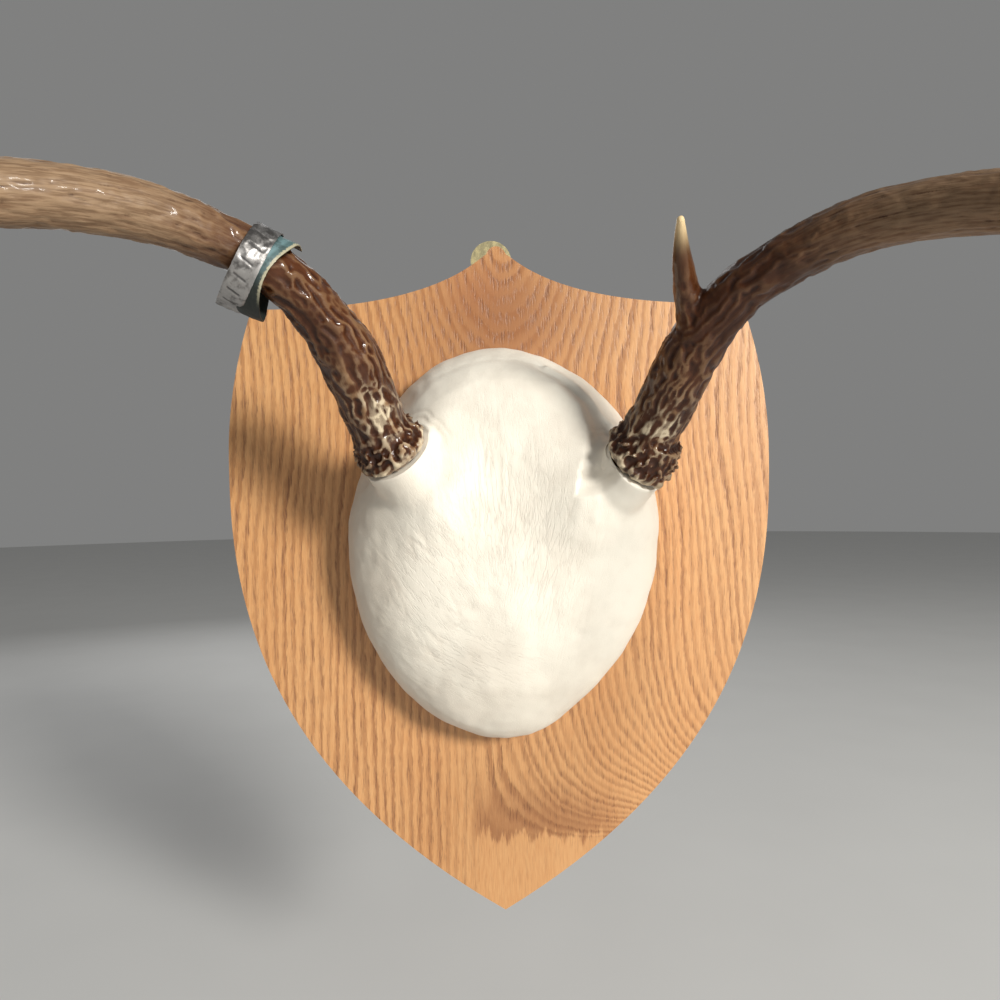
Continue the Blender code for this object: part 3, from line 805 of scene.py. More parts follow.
def make_hanger():
    """The plate with its keyhole, which is a round hole and a slot, and two countersunk holes."""
    radius = (plate_high.x - plate_low.x) / 2
    outline = strip(plate_x, plate_low.z, plate_high.z, radius)
    hanger = plate("keyhole_hanger", outline, plate_high.y, plate_low.y, OUTLINE_STEPS, brass)
    eased(hanger, PLATE_EDGE, 3)
    slot = strip(plate_x, keyhole_z, keyhole_z + SLOT_LENGTH + SLOT_RADIUS, SLOT_RADIUS)
    thickness = plate_high.y - plate_low.y
    through = 3 * thickness
    slope = (SCREW_HEAD_RADIUS - SCREW_SHANK_RADIUS) / SCREW_HEAD_DEPTH
    wide = SCREW_HEAD_RADIUS + FIT - slope * plate_high.y
    reach = FIT - plate_low.y
    cutters = [
        rod("keyhole", KEYHOLE_RADIUS, (plate_x, 0, keyhole_z), through),
        plate("slot", slot, 0, plate_low.y - thickness, OUTLINE_STEPS, brass),
    ]
    for z in screw_heights:
        cutters.append(rod("countersink", wide, (plate_x, 0, z), reach, wide - slope * reach))
        cutters.append(rod("screw_hole", SCREW_SHANK_RADIUS + FIT, (plate_x, 0, z), through))
    return flat_sides(smooth(welded(cut(hanger, cutters))))


keyhole_hanger = make_hanger()
closed_report(keyhole_hanger)

# %% [markdown]
# ## The screws, with Geometry Nodes
# Two equal screws are one screw placed twice, which is what Geometry Nodes are for. A turned shape
# is a straight curve whose points have radii: Curve to Mesh sweeps a circle along it. A Boolean
# cuts the slot, Instance on Points puts the screw on both places, and Realize Instances makes them
# real faces. The sizes are the tree's own inputs, so it could make any other slotted screw.


# %% Building and running a geometry tree
def new_tree(name, inputs):
    """An empty geometry tree with its named inputs, and the wire of its first input."""
    tree = bpy.data.node_groups.new(name, "GeometryNodeTree")
    for label, kind in {"Geometry": "Geometry", **inputs}.items():
        tree.interface.new_socket(label, in_out="INPUT", socket_type=f"NodeSocket{kind}")
    tree.interface.new_socket("Geometry", in_out="OUTPUT", socket_type="NodeSocketGeometry")
    return tree, Wire(tree).node("NodeGroupInput")


def end_tree(shape, material):
    """Makes a tree's instances real, gives them a material and hands them out."""
    real = shape.node("GeometryNodeRealizeInstances", sockets={"Geometry": shape})
    painted = real.node("GeometryNodeSetMaterial", sockets={"Geometry": real, "Material": material})
    painted.node("NodeGroupOutput", sockets={"Geometry": painted})


def run_tree(obj, tree, values):
    """Puts a tree on an object, with values for its named inputs."""
    modifier = obj.modifiers.new(tree.name, "NODES")
    modifier.node_group = tree
    for item in tree.interface.items_tree:
        if item.in_out == "INPUT" and item.name in values:
            modifier[item.identifier] = values[item.name]


def swept(path, sides):
    """A closed tube round each of a path's splines, as wide as its points' radii."""
    ring = path.node("GeometryNodeCurvePrimitiveCircle", sockets={"Resolution": sides, "Radius": 1.0})
    width = path.node("GeometryNodeInputRadius")
    sockets = {"Curve": path, "Profile Curve": ring, "Scale": width, "Fill Caps": True}
    return path.node("GeometryNodeCurveToMesh", sockets=sockets)


def spline_object(name, routes):
    """A curve object with one spline for each route of (place, radius) points."""
    curve = bpy.data.curves.new(name, "CURVE")
    curve.dimensions = "3D"
    for route in routes:
        spline = curve.splines.new("POLY")
        spline.points.add(len(route) - 1)
        for point, (place, radius) in zip(spline.points, route):
            point.co = (*place, 1)
            point.radius = radius
    return add(name, curve)


print("geometry tree helpers ready")

# %% Screws
SCREW_SLOT_WIDTH = 0.7 * MM
SCREW_SLOT_DEPTH = 0.5 * MM
SCREW_SLOT_TURN = 25
SCREW_SIDES = 40
SCREW_RIM = 0.12 * MM
SCREW_POINT_RADIUS = 0.2 * MM


def screw_tree():
    inputs = {
        "Sides": "Int",
        "Slot size": "Vector",
        "Slot place": "Vector",
        "Slot turn": "Rotation",
        "Screws": "Int",
        "Spacing": "Vector",
    }
    tree, given = new_tree("slotted_screws", inputs)
    body = swept(given, given.pick("Sides"))
    cutter = given.node("GeometryNodeMeshCube", sockets={"Size": given.pick("Slot size")})
    turned = {"Translation": given.pick("Slot place"), "Rotation": given.pick("Slot turn")}
    cutter = given.node("GeometryNodeTransform", sockets={"Geometry": cutter, **turned})
    slotted = {"Mesh 1": body, "Mesh 2": cutter}
    screw = given.node("GeometryNodeMeshBoolean", {"operation": "DIFFERENCE"}, slotted)
    row = {"Count": given.pick("Screws"), "Offset": given.pick("Spacing")}
    places = given.node("GeometryNodeMeshLine", sockets=row)
    screws = given.node("GeometryNodeInstanceOnPoints", sockets={"Points": places, "Instance": screw})
    end_tree(screws, brass)
    return tree


def make_screws():
    head_y = screw_boxes[0][1].y
    low_z = min(screw_heights)
    profile = [
        (0, SCREW_HEAD_RADIUS),
        (SCREW_RIM, SCREW_HEAD_RADIUS),
        (SCREW_HEAD_DEPTH, SCREW_SHANK_RADIUS),
        (screw_depth - 3 * SCREW_SHANK_RADIUS, SCREW_SHANK_RADIUS),
        (screw_depth, SCREW_POINT_RADIUS),
    ]
    spine = [(Vector((plate_x, head_y - depth, low_z)), radius) for depth, radius in profile]
    obj = spline_object("screw_spine", [spine])
    values = {
        "Sides": SCREW_SIDES,
        "Slot size": (3 * SCREW_HEAD_RADIUS, 2 * SCREW_SLOT_DEPTH, SCREW_SLOT_WIDTH),
        "Slot place": (plate_x, head_y, low_z),
        "Slot turn": (0, math.radians(SCREW_SLOT_TURN), 0),
        "Screws": len(screw_heights),
        "Spacing": (0, 0, max(screw_heights) - low_z),
    }
    run_tree(obj, screw_tree(), values)
    return smooth(welded(settled(obj, "hanger_screws", brass)))


hanger_screws = make_screws()
closed_report(hanger_screws)

# %% [markdown]
# ## The antlers' routes
# An antler's beam leaves its burr, sweeps out and forwards, and curls down to a point, with
# tines standing on it. Each route is a few rows of place and diameter, and a smooth curve runs
# through them. These are the rows that the imported part was built from, so that the two
# agree to a hair. Places are (x, z, out), with out measured off the shield's face.

# %% Routes of the beams and tines
LEFT_SEAT = (-37.9, -3.5, 40)
LEFT_AXIS = (-0.446, 0.676, 0.587)
RIGHT_SEAT = (50.4, -7.1, 40)
RIGHT_AXIS = (0.513, 0.563, 0.648)
STUB_RADIUS = 9
STUB_LENGTH = 8
BURR_RADIUS = 14.6
BURR_HEIGHT = 6.6
LEFT_BEAM = (
    (-43.4, 7.1, 47.8, 21.0),
    (-47.0, 18.9, 56.0, 21.7),
    (-51.4, 30.6, 64.6, 21.2),
    (-56.7, 38.7, 71.4, 18.9),
    (-65.1, 48.8, 81.0, 16.8),
    (-79.5, 56.8, 93.8, 15.9),
    (-101.7, 60.9, 112.9, 17.2),
    (-130.0, 55.0, 138.0, 17.0),
    (-157.0, 39.0, 162.0, 16.0),
    (-174.0, 12.0, 183.0, 14.5),
    (-178.0, -21.0, 200.0, 12.0),
    (-168.0, -53.0, 211.0, 9.0),
    (-150.0, -79.0, 217.0, 3.6),
)
RIGHT_BEAM = (
    (54.2, 0.8, 45.7, 20.7),
    (58.7, 11.4, 53.5, 20.4),
    (62.6, 21.5, 61.0, 20.4),
    (66.4, 30.2, 67.9, 20.0),
    (73.8, 40.6, 77.6, 17.6),
    (81.6, 47.3, 85.6, 16.2),
    (105.2, 55.7, 106.9, 16.4),
    (133.0, 51.0, 133.0, 16.4),
    (160.0, 35.0, 157.0, 15.6),
    (177.0, 8.0, 178.0, 14.0),
    (181.0, -25.0, 195.0, 11.6),
    (171.0, -57.0, 206.0, 8.8),
    (153.0, -83.0, 212.0, 3.6),
)
LEFT_TINES = (
    (9.4, ((0, 0, 0, 13), (-2, 14, 20, 11.6), (-3, 25, 44, 9.4), (1, 31, 72, 6.4), (7, 31, 94, 2.4))),
    (10.95, ((0, 0, 0, 11), (-4, 12, 16, 9.6), (-6, 21, 38, 7.4), (-2, 25, 62, 2.4))),
)
RIGHT_TINES = (
    (5.5, ((-5, -2, 0, 12), (-8.3, 8.4, 4.2, 9.4), (-12.5, 18.8, 14.2, 6), (-14.9, 26.6, 23.2, 2.6))),
    (9.4, ((0, 0, 0, 13), (3, 13, 19, 11.4), (5, 24, 42, 9.2), (2, 30, 70, 6.2), (-4, 31, 90, 2.4))),
    (10.95, ((0, 0, 0, 11), (5, 11, 16, 9.4), (7, 19, 36, 7.2), (3, 23, 58, 2.4))),
)
print("rows of the left and right beam:", len(LEFT_BEAM), len(RIGHT_BEAM))

# %% A smooth curve through the rows
ROUTE_STEPS = 14
TIP_SHARES = (0.45, 0.75, 0.93)
TIP_ROUNDING = 0.5


def between(values, t):
    """A value between the middle two of four, on a smooth curve through all of them."""
    a, b, c, d = values
    return b + 0.5 * t * (c - a + t * (2 * a - 5 * b + 4 * c - d + t * (3 * (b - c) + d - a)))


def route_point(rows, station):
    """Place and diameter at a station of the route, where row n is station n."""
    first = min(int(station), len(rows) - 2)
    before = rows[first - 1] if first else [2 * a - b for a, b in zip(rows[0], rows[1])]
    last = rows[first + 2] if first + 2 < len(rows) else [2 * a - b for a, b in zip(rows[-1], rows[-2])]
    four = (before, rows[first], rows[first + 1], last)
    values = [between([row[axis] for row in four], station - first) for axis in range(4)]
    return values[:3], values[3]


def on_front(x, z, out):
    """The world point, in metres, of a place in millimetres on the front."""
    return Vector((x * MM, BOARD_FACE - out * MM, z * MM))


def front_direction(x, z, out):
    """The world direction, of length 1, of a direction on the front."""
    return Vector((x, -out, z)).normalized()


def beam_rows(seat, axis, rows):
    """The whole route: it starts inside the stub and leaves the burr on the burr's own axis."""
    direction = Vector(axis).normalized()
    root = Vector(seat) - direction * STUB_LENGTH * 0.5
    collar = Vector(seat) + direction * BURR_HEIGHT * 0.5
    return [(*root, 1.5 * STUB_RADIUS), (*collar, 2.05 * STUB_RADIUS), *rows]


def sampled(rows):
    """Close (place, radius) points along a route, in metres, with a rounded last end."""
    stations = [number / ROUTE_STEPS for number in range((len(rows) - 1) * ROUTE_STEPS + 1)]
    points = [route_point(rows, station) for station in stations]
    route = [(on_front(*place), diameter / 2 * MM) for place, diameter in points]
    (before, _), (end, radius) = route[-2:]
    onward = (end - before).normalized()
    for share in TIP_SHARES:
        place = end + onward * radius * share * TIP_ROUNDING
        route.append((place, radius * math.sqrt(1 - share * share)))
    return route


def antler_routes(seat, axis, rows, tines):
    """The beam's route, and one for each tine from its station on the beam."""
    beam = beam_rows(seat, axis, rows)
    routes = [sampled(beam)]
    for station, steps in tines:
        root, _ = route_point(beam, station)
        routes.append(sampled([(*(a + b for a, b in zip(root, step[:3])), step[3]) for step in steps]))
    return routes


left_routes = antler_routes(LEFT_SEAT, LEFT_AXIS, LEFT_BEAM, LEFT_TINES)
right_routes = antler_routes(RIGHT_SEAT, RIGHT_AXIS, RIGHT_BEAM, RIGHT_TINES)
for side, routes in (("left", left_routes), ("right", right_routes)):
    lengths = [sum((b[0] - a[0]).length for a, b in zip(route, route[1:])) / MM for route in routes]
    print(side, "beam and tines, mm long:", [round(length) for length in lengths])

# %% [markdown]
# ## The antlers' bone, with Geometry Nodes
# The beam and tines follow paths, and the burr is a crown of bony pearls, so both come from one
# geometry tree. It sweeps a circle along every route, strings large knobs on a ring round the burr,
# and scatters small pearls over the foot of the beam. A fixed seed keeps the scatter the same. A
# voxel remesh then melts everything into one skin, because bone has no seams.

# %% The antler tree
BEAD_SUBDIVISIONS = 3


def pearls(given, count, radius, ring, rise, spread, seed):
    """Bony beads on a ring round the burr's axis, each moved and scaled at random."""
    points = given.node("GeometryNodePoints", sockets={"Count": count, "Radius": 1.0})
    index = given.node("GeometryNodeInputIndex")

    def chance(number, low, high):
        """A random number for each bead."""
        sockets = {"Min_001": low, "Max_001": high, "ID": index, "Seed": seed + number}
        return given.node("FunctionNodeRandomValue", {"data_type": "FLOAT"}, sockets, "Value_001")

    angle = (index + chance(1, -0.32, 0.32)) * math.tau / count
    up = rise + chance(2, 0.0, 1.0) * spread
    out = ring - (up - rise) * 0.34 + chance(3, -0.5 * MM, 0.35 * MM)
    place = {"X": angle.maths("COSINE", angle) * out, "Y": angle.maths("SINE", angle) * out, "Z": up}
    offset = given.node("ShaderNodeCombineXYZ", sockets=place)
    points = given.node("GeometryNodeSetPosition", sockets={"Geometry": points, "Position": offset})
    ball = {"Radius": radius, "Subdivisions": BEAD_SUBDIVISIONS}
    bead = given.node("GeometryNodeMeshIcoSphere", sockets=ball)
    size = chance(4, 0.62, 1.22)
    scale = {"X": size * chance(5, 0.8, 1.15), "Y": size, "Z": size * chance(6, 0.8, 1.3)}
    scale = given.node("ShaderNodeCombineXYZ", sockets=scale)
    sockets = {"Points": points, "Instance": bead, "Scale": scale}
    return given.node("GeometryNodeInstanceOnPoints", sockets=sockets)


def antler_tree():
    inputs = {
        "Sides": "Int",
        "Seat": "Vector",
        "Turn": "Rotation",
        "Burr radius": "Float",
        "Burr height": "Float",
        "Knobs": "Int",
        "Knob radius": "Float",
        "Pearls": "Int",
        "Pearl radius": "Float",
        "Pearl reach": "Float",
        "Seed": "Int",
    }
    tree, given = new_tree("antler_bone", inputs)
    branches = swept(given, given.pick("Sides"))
    seed, ring, height = given.pick("Seed"), given.pick("Burr radius"), given.pick("Burr height")
    knob = given.pick("Knob radius")
    crown = pearls(given, given.pick("Knobs"), knob, ring - knob * 0.75, height * 0.45, height * 0.2, seed)
    second = pearls(
        given, given.pick("Knobs"), knob * 0.72, ring - knob * 0.72, height * 0.95, height * 0.35, seed + 20
    )
    small = given.pick("Pearl radius")
    reach = given.pick("Pearl reach")
    scattered = pearls(given, given.pick("Pearls"), small, ring - knob * 1.15, height * 1.1, reach, seed + 40)
    beads = given.node("GeometryNodeJoinGeometry", sockets={"Geometry": [crown, second, scattered]})
    moved = {"Geometry": beads, "Translation": given.pick("Seat"), "Rotation": given.pick("Turn")}
    beads = given.node("GeometryNodeTransform", sockets=moved)
    end_tree(given.node("GeometryNodeJoinGeometry", sockets={"Geometry": [branches, beads]}), antler_look)
    return tree


bone_tree = antler_tree()
print("antler tree:", len(bone_tree.nodes), "nodes")

# %% Growing the bone
VOXEL = 0.62 * MM
SKIN_SMOOTHING = 3
BEAM_SIDES = 48


def burr_route(seat, axis):
    """The stub that the skull holds and the burr's disc, as points on a straight route."""
    place, direction = on_front(*seat), front_direction(*axis)
    profile = (
        (-STUB_LENGTH, STUB_RADIUS * 0.96),
        (-STUB_LENGTH + 0.4, STUB_RADIUS),
        (-0.3, STUB_RADIUS),
        (0.1, BURR_RADIUS * 0.80),
        (BURR_HEIGHT * 0.20, BURR_RADIUS * 0.90),
        (BURR_HEIGHT * 0.45, BURR_RADIUS * 0.91),
        (BURR_HEIGHT * 0.80, BURR_RADIUS * 0.86),
        (BURR_HEIGHT * 1.20, BURR_RADIUS * 0.79),
        (BURR_HEIGHT * 1.70, BURR_RADIUS * 0.73),
        (BURR_HEIGHT * 2.30, BURR_RADIUS * 0.67),
    )
    return [(place + direction * height * MM, radius * MM) for height, radius in profile]


def grow_bone(name, seat, axis, routes, seed):
    """One antler in a single skin, from its routes and its burr."""
    obj = spline_object(f"{name}_routes", [*routes, burr_route(seat, axis)])
    turn = front_direction(*axis).to_track_quat("Z", "Y").to_euler()
    values = {
        "Sides": BEAM_SIDES,
        "Seat": on_front(*seat),
        "Turn": turn,
        "Burr radius": BURR_RADIUS * MM,
        "Burr height": BURR_HEIGHT * MM,
        "Knobs": 30,
        "Knob radius": 1.6 * MM,
        "Pearls": 26,
        "Pearl radius": 1.05 * MM,
        "Pearl reach": 5 * MM,
        "Seed": seed,
    }
    run_tree(obj, bone_tree, values)
    tubes = settled(obj, f"{name}_tubes", antler_look)
    skin = tubes.modifiers.new("one skin", "REMESH")
    skin.mode = "VOXEL"
    skin.voxel_size = VOXEL
    soften = tubes.modifiers.new("soften the voxels", "SMOOTH")
    soften.factor = 0.5
    soften.iterations = SKIN_SMOOTHING
    return settled(tubes, name, antler_look)


left_antler = grow_bone("left_antler", LEFT_SEAT, LEFT_AXIS, left_routes, seed=3)
right_antler = grow_bone("right_antler", RIGHT_SEAT, RIGHT_AXIS, right_routes, seed=8)
closed_report(left_antler)
closed_report(right_antler)

# %% [markdown]
# ## The antlers' surface
# The net of ridges belongs to the mesh, because it shows at the outline. To carve it, every point
# has to know where it is on its branch: how far along, and where round it. A KD tree finds the
# nearest point of each branch's route, and the turn-free frame there gives the two numbers across.
# In those straightened coordinates, a pattern of cells stretched along the branch is the net. Near
# a fork a point belongs to both branches, and takes a share of each. The noise that bends the cells
# is seeded from the clock unless it is given a seed, so a fixed one makes every run the same.

# %% Straightened coordinates
CELL_WIDTH = 3.4
CELL_LENGTH = 6.8
NOISE_SEED = 4
noise.seed_set(NOISE_SEED)


class Branch:
    """A route with its length, its frames and a tree for finding the nearest point."""

    def __init__(self, route):
        self.places = [place / MM for place, _ in route]
        self.radii = [radius / MM for _, radius in route]
        self.lengths = [0.0]
        for a, b in zip(self.places, self.places[1:]):
            self.lengths.append(self.lengths[-1] + (b - a).length)
        self.find = kdtree.KDTree(len(self.places))
        for number, place in enumerate(self.places):
            self.find.insert(place, number)
        self.find.balance()
        self.frames = []
        across = Vector((0, 0, 1)).cross(self.places[1] - self.places[0]).normalized()
        # Each frame takes over the last one's first axis, squared to the route, so it never twists
        for number in range(len(self.places)):
            ahead = self.places[min(number + 1, len(self.places) - 1)]
            onward = (ahead - self.places[max(number - 1, 0)]).normalized()
            across = (across - onward * across.dot(onward)).normalized()
            self.frames.append((across, onward.cross(across), onward))

    def straight(self, point):
        """Across, across and along this branch, in millimetres, and how many radii away the point is."""
        _, number, distance = self.find.find(point)
        away = point - self.places[number]
        first, second, onward = self.frames[number]
        along = self.lengths[number] + away.dot(onward)
        return Vector((away.dot(first), away.dot(second), along)), distance / self.radii[number]


def ramp(value, low, high):
    """0 below low, 1 above high and smooth between them."""
    t = max(0.0, min(1.0, (value - low) / (high - low)))
    return t * t * (3 - 2 * t)


def net(at, length):
    """The net's ridge (1 on it, 0 in a hollow), its cell's own chance and a fine grain at a place."""
    warp = noise.noise_vector(at * 0.30) * 1.1 + noise.noise_vector(at * 0.09) * 2.4
    moved = at + warp
    stretch = CELL_LENGTH * (1 + ramp(length, 25, 90))
    cell = Vector((moved.x / CELL_WIDTH, moved.y / CELL_WIDTH, moved.z / stretch))
    distances, centres = noise.voronoi(cell)
    gap = distances[1] - distances[0]
    whim = 0.5 + 0.5 * noise.noise(centres[0] * 3.7)
    broken = ramp(noise.noise(at * 0.16 + Vector((5, 5, 5))), -0.55, 0.15)
    ridge = (1 - ramp(gap, 0.0, 0.24 + 0.2 * whim)) * (0.30 + 0.70 * broken)
    fine = noise.noise(Vector((moved.x, moved.y, moved.z * 0.2)))
    return ridge, whim, fine


print("net of cells", CELL_WIDTH, "by", CELL_LENGTH, "mm")


# %% How far a point stands out
def convexity(mesh, rounds):
    """How far each point stands out of its smoothed surroundings, in millimetres."""
    count = len(mesh.vertices)
    places = np.empty(count * 3)
    normals = np.empty(count * 3)
    ends = np.empty(len(mesh.edges) * 2, dtype=int)
    mesh.vertices.foreach_get("co", places)
    mesh.vertices.foreach_get("normal", normals)
    mesh.edges.foreach_get("vertices", ends)
    places, normals, ends = places.reshape(-1, 3), normals.reshape(-1, 3), ends.reshape(-1, 2)
    first = np.concatenate((ends[:, 0], ends[:, 1]))
    second = np.concatenate((ends[:, 1], ends[:, 0]))
    valence = np.bincount(first, minlength=count)
    flat = places.copy()
    for _ in range(rounds):
        for axis in range(3):
            near = np.bincount(first, weights=flat[second, axis], minlength=count) / valence
            flat[:, axis] = (flat[:, axis] + near) / 2
    return ((places - flat) * normals).sum(axis=1) / MM


print("measuring tool ready")

# %% The relief of the branches
HOLLOW_DEPTH = 1.25
GROOVE_DEPTH = 0.40
NET_FADE = (70, 130)
TIP_FADE = (1, 16)
LEAST_SHARE = 0.02


def branch_relief(branches, found, shift):
    """Relief at a point, how near it is to a tip and its place along, shared where branches meet."""
    shares = [math.exp(-5 * max(0.0, away - 0.8) ** 2) for _, away in found]
    total = sum(shares)
    length = found[0][0].z
    strength = 1 - 0.70 * ramp(length, *NET_FADE)
    relief, tip, along = 0.0, 0.0, Vector((0, 0, 0))
    for branch, (at, _), share in zip(branches, found, shares):
        part = share / total
        if part < LEAST_SHARE:
            continue
        ridge, whim, fine = net(at + shift, length)
        groove = abs(noise.noise(Vector((at.x * 0.36, at.y * 0.36, at.z * 0.035)) + shift))
        end = branch.lengths[-1] - at.z
        slim = ramp(branch.radii[-1] + end * 0.07, 1.0, 3.4)
        hollow = (ridge - 0.66) * HOLLOW_DEPTH * (0.35 + 0.9 * whim) * strength
        line = (1 - ramp(groove, 0.0, 0.14)) * GROOVE_DEPTH * (1.15 - strength)
        relief += part * slim * (hollow + fine * 0.20 - line)
        tip += part * (1 - ramp(end, *TIP_FADE))
        along += at * part
    return relief, tip, along


print("hollows up to", HOLLOW_DEPTH, "mm deep")

# %% Carving the antlers
FLUTE_DEPTH = 1.2
BURR_ROUGHNESS = 0.6
RELIEF_SINK = 0.12
FOOT_FADE = (22, 70)
WORN_FADE = (85, 130)
PATCH_SIZE = 7.0
SETTLING = 2
CONVEXITY_ROUNDS = 14


def gauss(distance, size):
    """1 at no distance, falling smoothly to 0 within a few sizes."""
    return math.exp(-((distance / size) ** 2))


def carve(obj, routes, seat, axis, patch, dark, seed):
    """Carves an antler and stores what its material needs. Dark keeps its brown for longer."""
    branches = [Branch(route) for route in routes]
    shift = Vector((seed * 31.0, seed * 17.0, 0))
    place, direction = on_front(*seat) / MM, front_direction(*axis)
    mesh = obj.data
    moves, alongs = [], []
    stored = {"foot": [], "pale": [], "worn": [], "tip": []}
    for vert in mesh.vertices:
        point = vert.co / MM
        found = [branch.straight(point) for branch in branches]
        up = (point - place).dot(direction)
        burr = ramp(up, -1, 1) * (1 - ramp(up, 5, 9))
        root = found[0][0]
        relief, tip, along = branch_relief(branches, found, shift)
        flutes = abs(noise.noise(Vector((root.x * 0.50, root.y * 0.50, root.z * 0.045)) + shift))
        foot = ramp(up, 3, 7) * (1 - ramp(up, 11, 27))
        relief = relief * (1 - 0.30 * foot) * (1 - 0.6 * burr) - RELIEF_SINK
        relief += (flutes - 0.22) * FLUTE_DEPTH * foot
        relief += burr * noise.noise(point * 0.42) * BURR_ROUGHNESS
        spot = point - Vector(patch)
        spread = (spot - direction * spot.dot(direction) * 0.45).length
        patchy = gauss(spread, PATCH_SIZE) * ramp(0.30 + noise.noise(point * 0.34), 0.0, 0.5)
        moves.append(vert.normal * relief * (1 - 0.3 * patchy) * MM)
        stored["foot"].append(1 - ramp(root.z, *FOOT_FADE) * (0.74 + 0.26 * dark))
        knobs = burr * (0.72 - 0.08 * up + 0.9 * noise.noise(point * 0.3))
        stored["pale"].append(max(0.0, min(1.0, patchy * 1.1 + knobs + foot * 0.12)))
        stored["worn"].append((1 - 0.55 * dark) * ramp(root.z, *WORN_FADE))
        stored["tip"].append(tip)
        alongs.extend(along + shift)
    bm = bmesh.new()
    bm.from_mesh(mesh)
    for vert, move in zip(bm.verts, moves):
        vert.co += move
    every_axis = {f"use_axis_{axis}": True for axis in "xyz"}
    for _ in range(SETTLING):
        bmesh.ops.smooth_vert(bm, verts=bm.verts, factor=0.5, **every_axis)
    bm.to_mesh(mesh)
    bm.free()
    proud = convexity(mesh, CONVEXITY_ROUNDS)
    stored["height"] = np.clip(0.5 + proud / (3.4 * proud.std()), 0, 1)
    for name, values in stored.items():
        mesh.attributes.new(name, "FLOAT", "POINT").data.foreach_set("value", values)
    mesh.attributes.new("along", "FLOAT_VECTOR", "POINT").data.foreach_set("vector", alongs)
    mesh.shade_smooth()
    print(obj.name, "relief spreads by", round(proud.std(), 3), "mm")


LEFT_PATCH = on_front(-40.5, 9, 58) / MM
RIGHT_PATCH = on_front(54.5, 2.0, 56) / MM
carve(left_antler, left_routes, LEFT_SEAT, LEFT_AXIS, LEFT_PATCH, dark=0.0, seed=1)
carve(right_antler, right_routes, RIGHT_SEAT, RIGHT_AXIS, RIGHT_PATCH, dark=0.6, seed=2)

# %% [markdown]
# ## The leather-covered skull cap
# Wet hide shrinks over the bone and rounds every corner, so the cover starts as a copy of the
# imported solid, remeshed into even small faces and smoothed until its flat facets and hard joints
# are gone. Then the wrinkles go in. Hide wrinkles across the direction it is pulled in, so they run
# from the burrs down to the middle of the chin, straight in the centre and slanting at the left.

# %% Leather cover
COVER_VOXEL = 0.78 * MM
COVER_SMOOTHING = 30


def cover_base():
    """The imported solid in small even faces, with its corners drawn soft."""
    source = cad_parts["leather_skull_cap"]
    obj = add("leather_cover_base", source.data.copy())
    welded(obj)
    even = obj.modifiers.new("even faces", "REMESH")
    even.mode = "VOXEL"
    even.voxel_size = COVER_VOXEL
    shrink = obj.modifiers.new("shrunk hide", "SMOOTH")
    shrink.factor = 0.5
    shrink.iterations = COVER_SMOOTHING
    return settled(obj, "leather_cover", leather)


leather_cover = cover_base()
closed_report(leather_cover)

# %% Creases, ovals and lines
FOLDS = (
    ((-27, -46), (20, 30), 0.62, 3.0, 13, 1.0, 1.3),
    ((-2, -20), (26, 34), 0.08, 3.0, 12, 0.8, 5.2),
    ((22, -38), (24, 38), -0.28, 3.6, 15, 0.35, 9.4),
    ((-20, -78), (26, 16), 1.10, 3.0, 13, 0.8, 12.6),
)
DIMPLES = (
    ((-4, -57), (3.6, 3.2), 0.60),
    ((-15, -61), (5.5, 2.6), 0.45),
    ((-6, -8), (2.8, 8), 0.35),
    ((30, -73), (2.6, 2.4), 0.45),
    ((9, -33), (3, 6), 0.30),
)


def crease(x, z, turn, width, length, seed):
    """A field of creases that run at a turn from upright: 1 in a crease, 0 off it."""
    c, s = math.cos(turn), math.sin(turn)
    across, down = x * c + z * s, z * c - x * s
    wave = noise.noise(Vector((across * 0.045, down * 0.03, seed + 7.7))) * 2.4
    value = noise.noise(Vector(((across + wave) / width, down / length, seed)))
    gate = ramp(noise.noise(Vector((across * 0.09, down * 0.07, seed + 3.1))), -0.30, 0.35)
    return (1 - ramp(abs(value), 0.0, 0.20)) * gate


def oval(x, z, centre, size):
    """1 at the centre of an oval, falling smoothly to 0 outside it."""
    return math.exp(-(((x - centre[0]) / size[0]) ** 2) - ((z - centre[1]) / size[1]) ** 2)


def from_line(x, z, points):
    """Distance to a line of points, and whether the place is on its upper or right side."""
    nearest, sign = 1e9, 1.0
    for (ax, az), (bx, bz) in zip(points, points[1:]):
        dx, dz = bx - ax, bz - az
        t = max(0.0, min(1.0, ((x - ax) * dx + (z - az) * dz) / (dx * dx + dz * dz)))
        distance = math.hypot(x - ax - t * dx, z - az - t * dz)
        if distance < nearest:
            nearest = distance
            sign = 1.0 if dx * (z - az) - dz * (x - ax) > 0 else -1.0
    return nearest * sign


print("fields of creases:", len(FOLDS), "and dimples:", len(DIMPLES))

# %% The relief of the hide
WRINKLE_DEPTH = 0.27
PLATEAU_EDGE = ((-45, -6), (-33, 10), (-22, 18), (-9, 23.5), (8, 25), (22, 23), (31, 15), (33.5, 5), (31, -6))
PLATEAU_DROP = 2.3
PLATEAU_FALLS = (10.0, 5.5)
PLATEAU_END = 14.5
PLATEAU_RISE = 4.5
RIM_FOLD = ((20, 32.5), (30, 26.5), (38, 18.5), (45, 8.5))


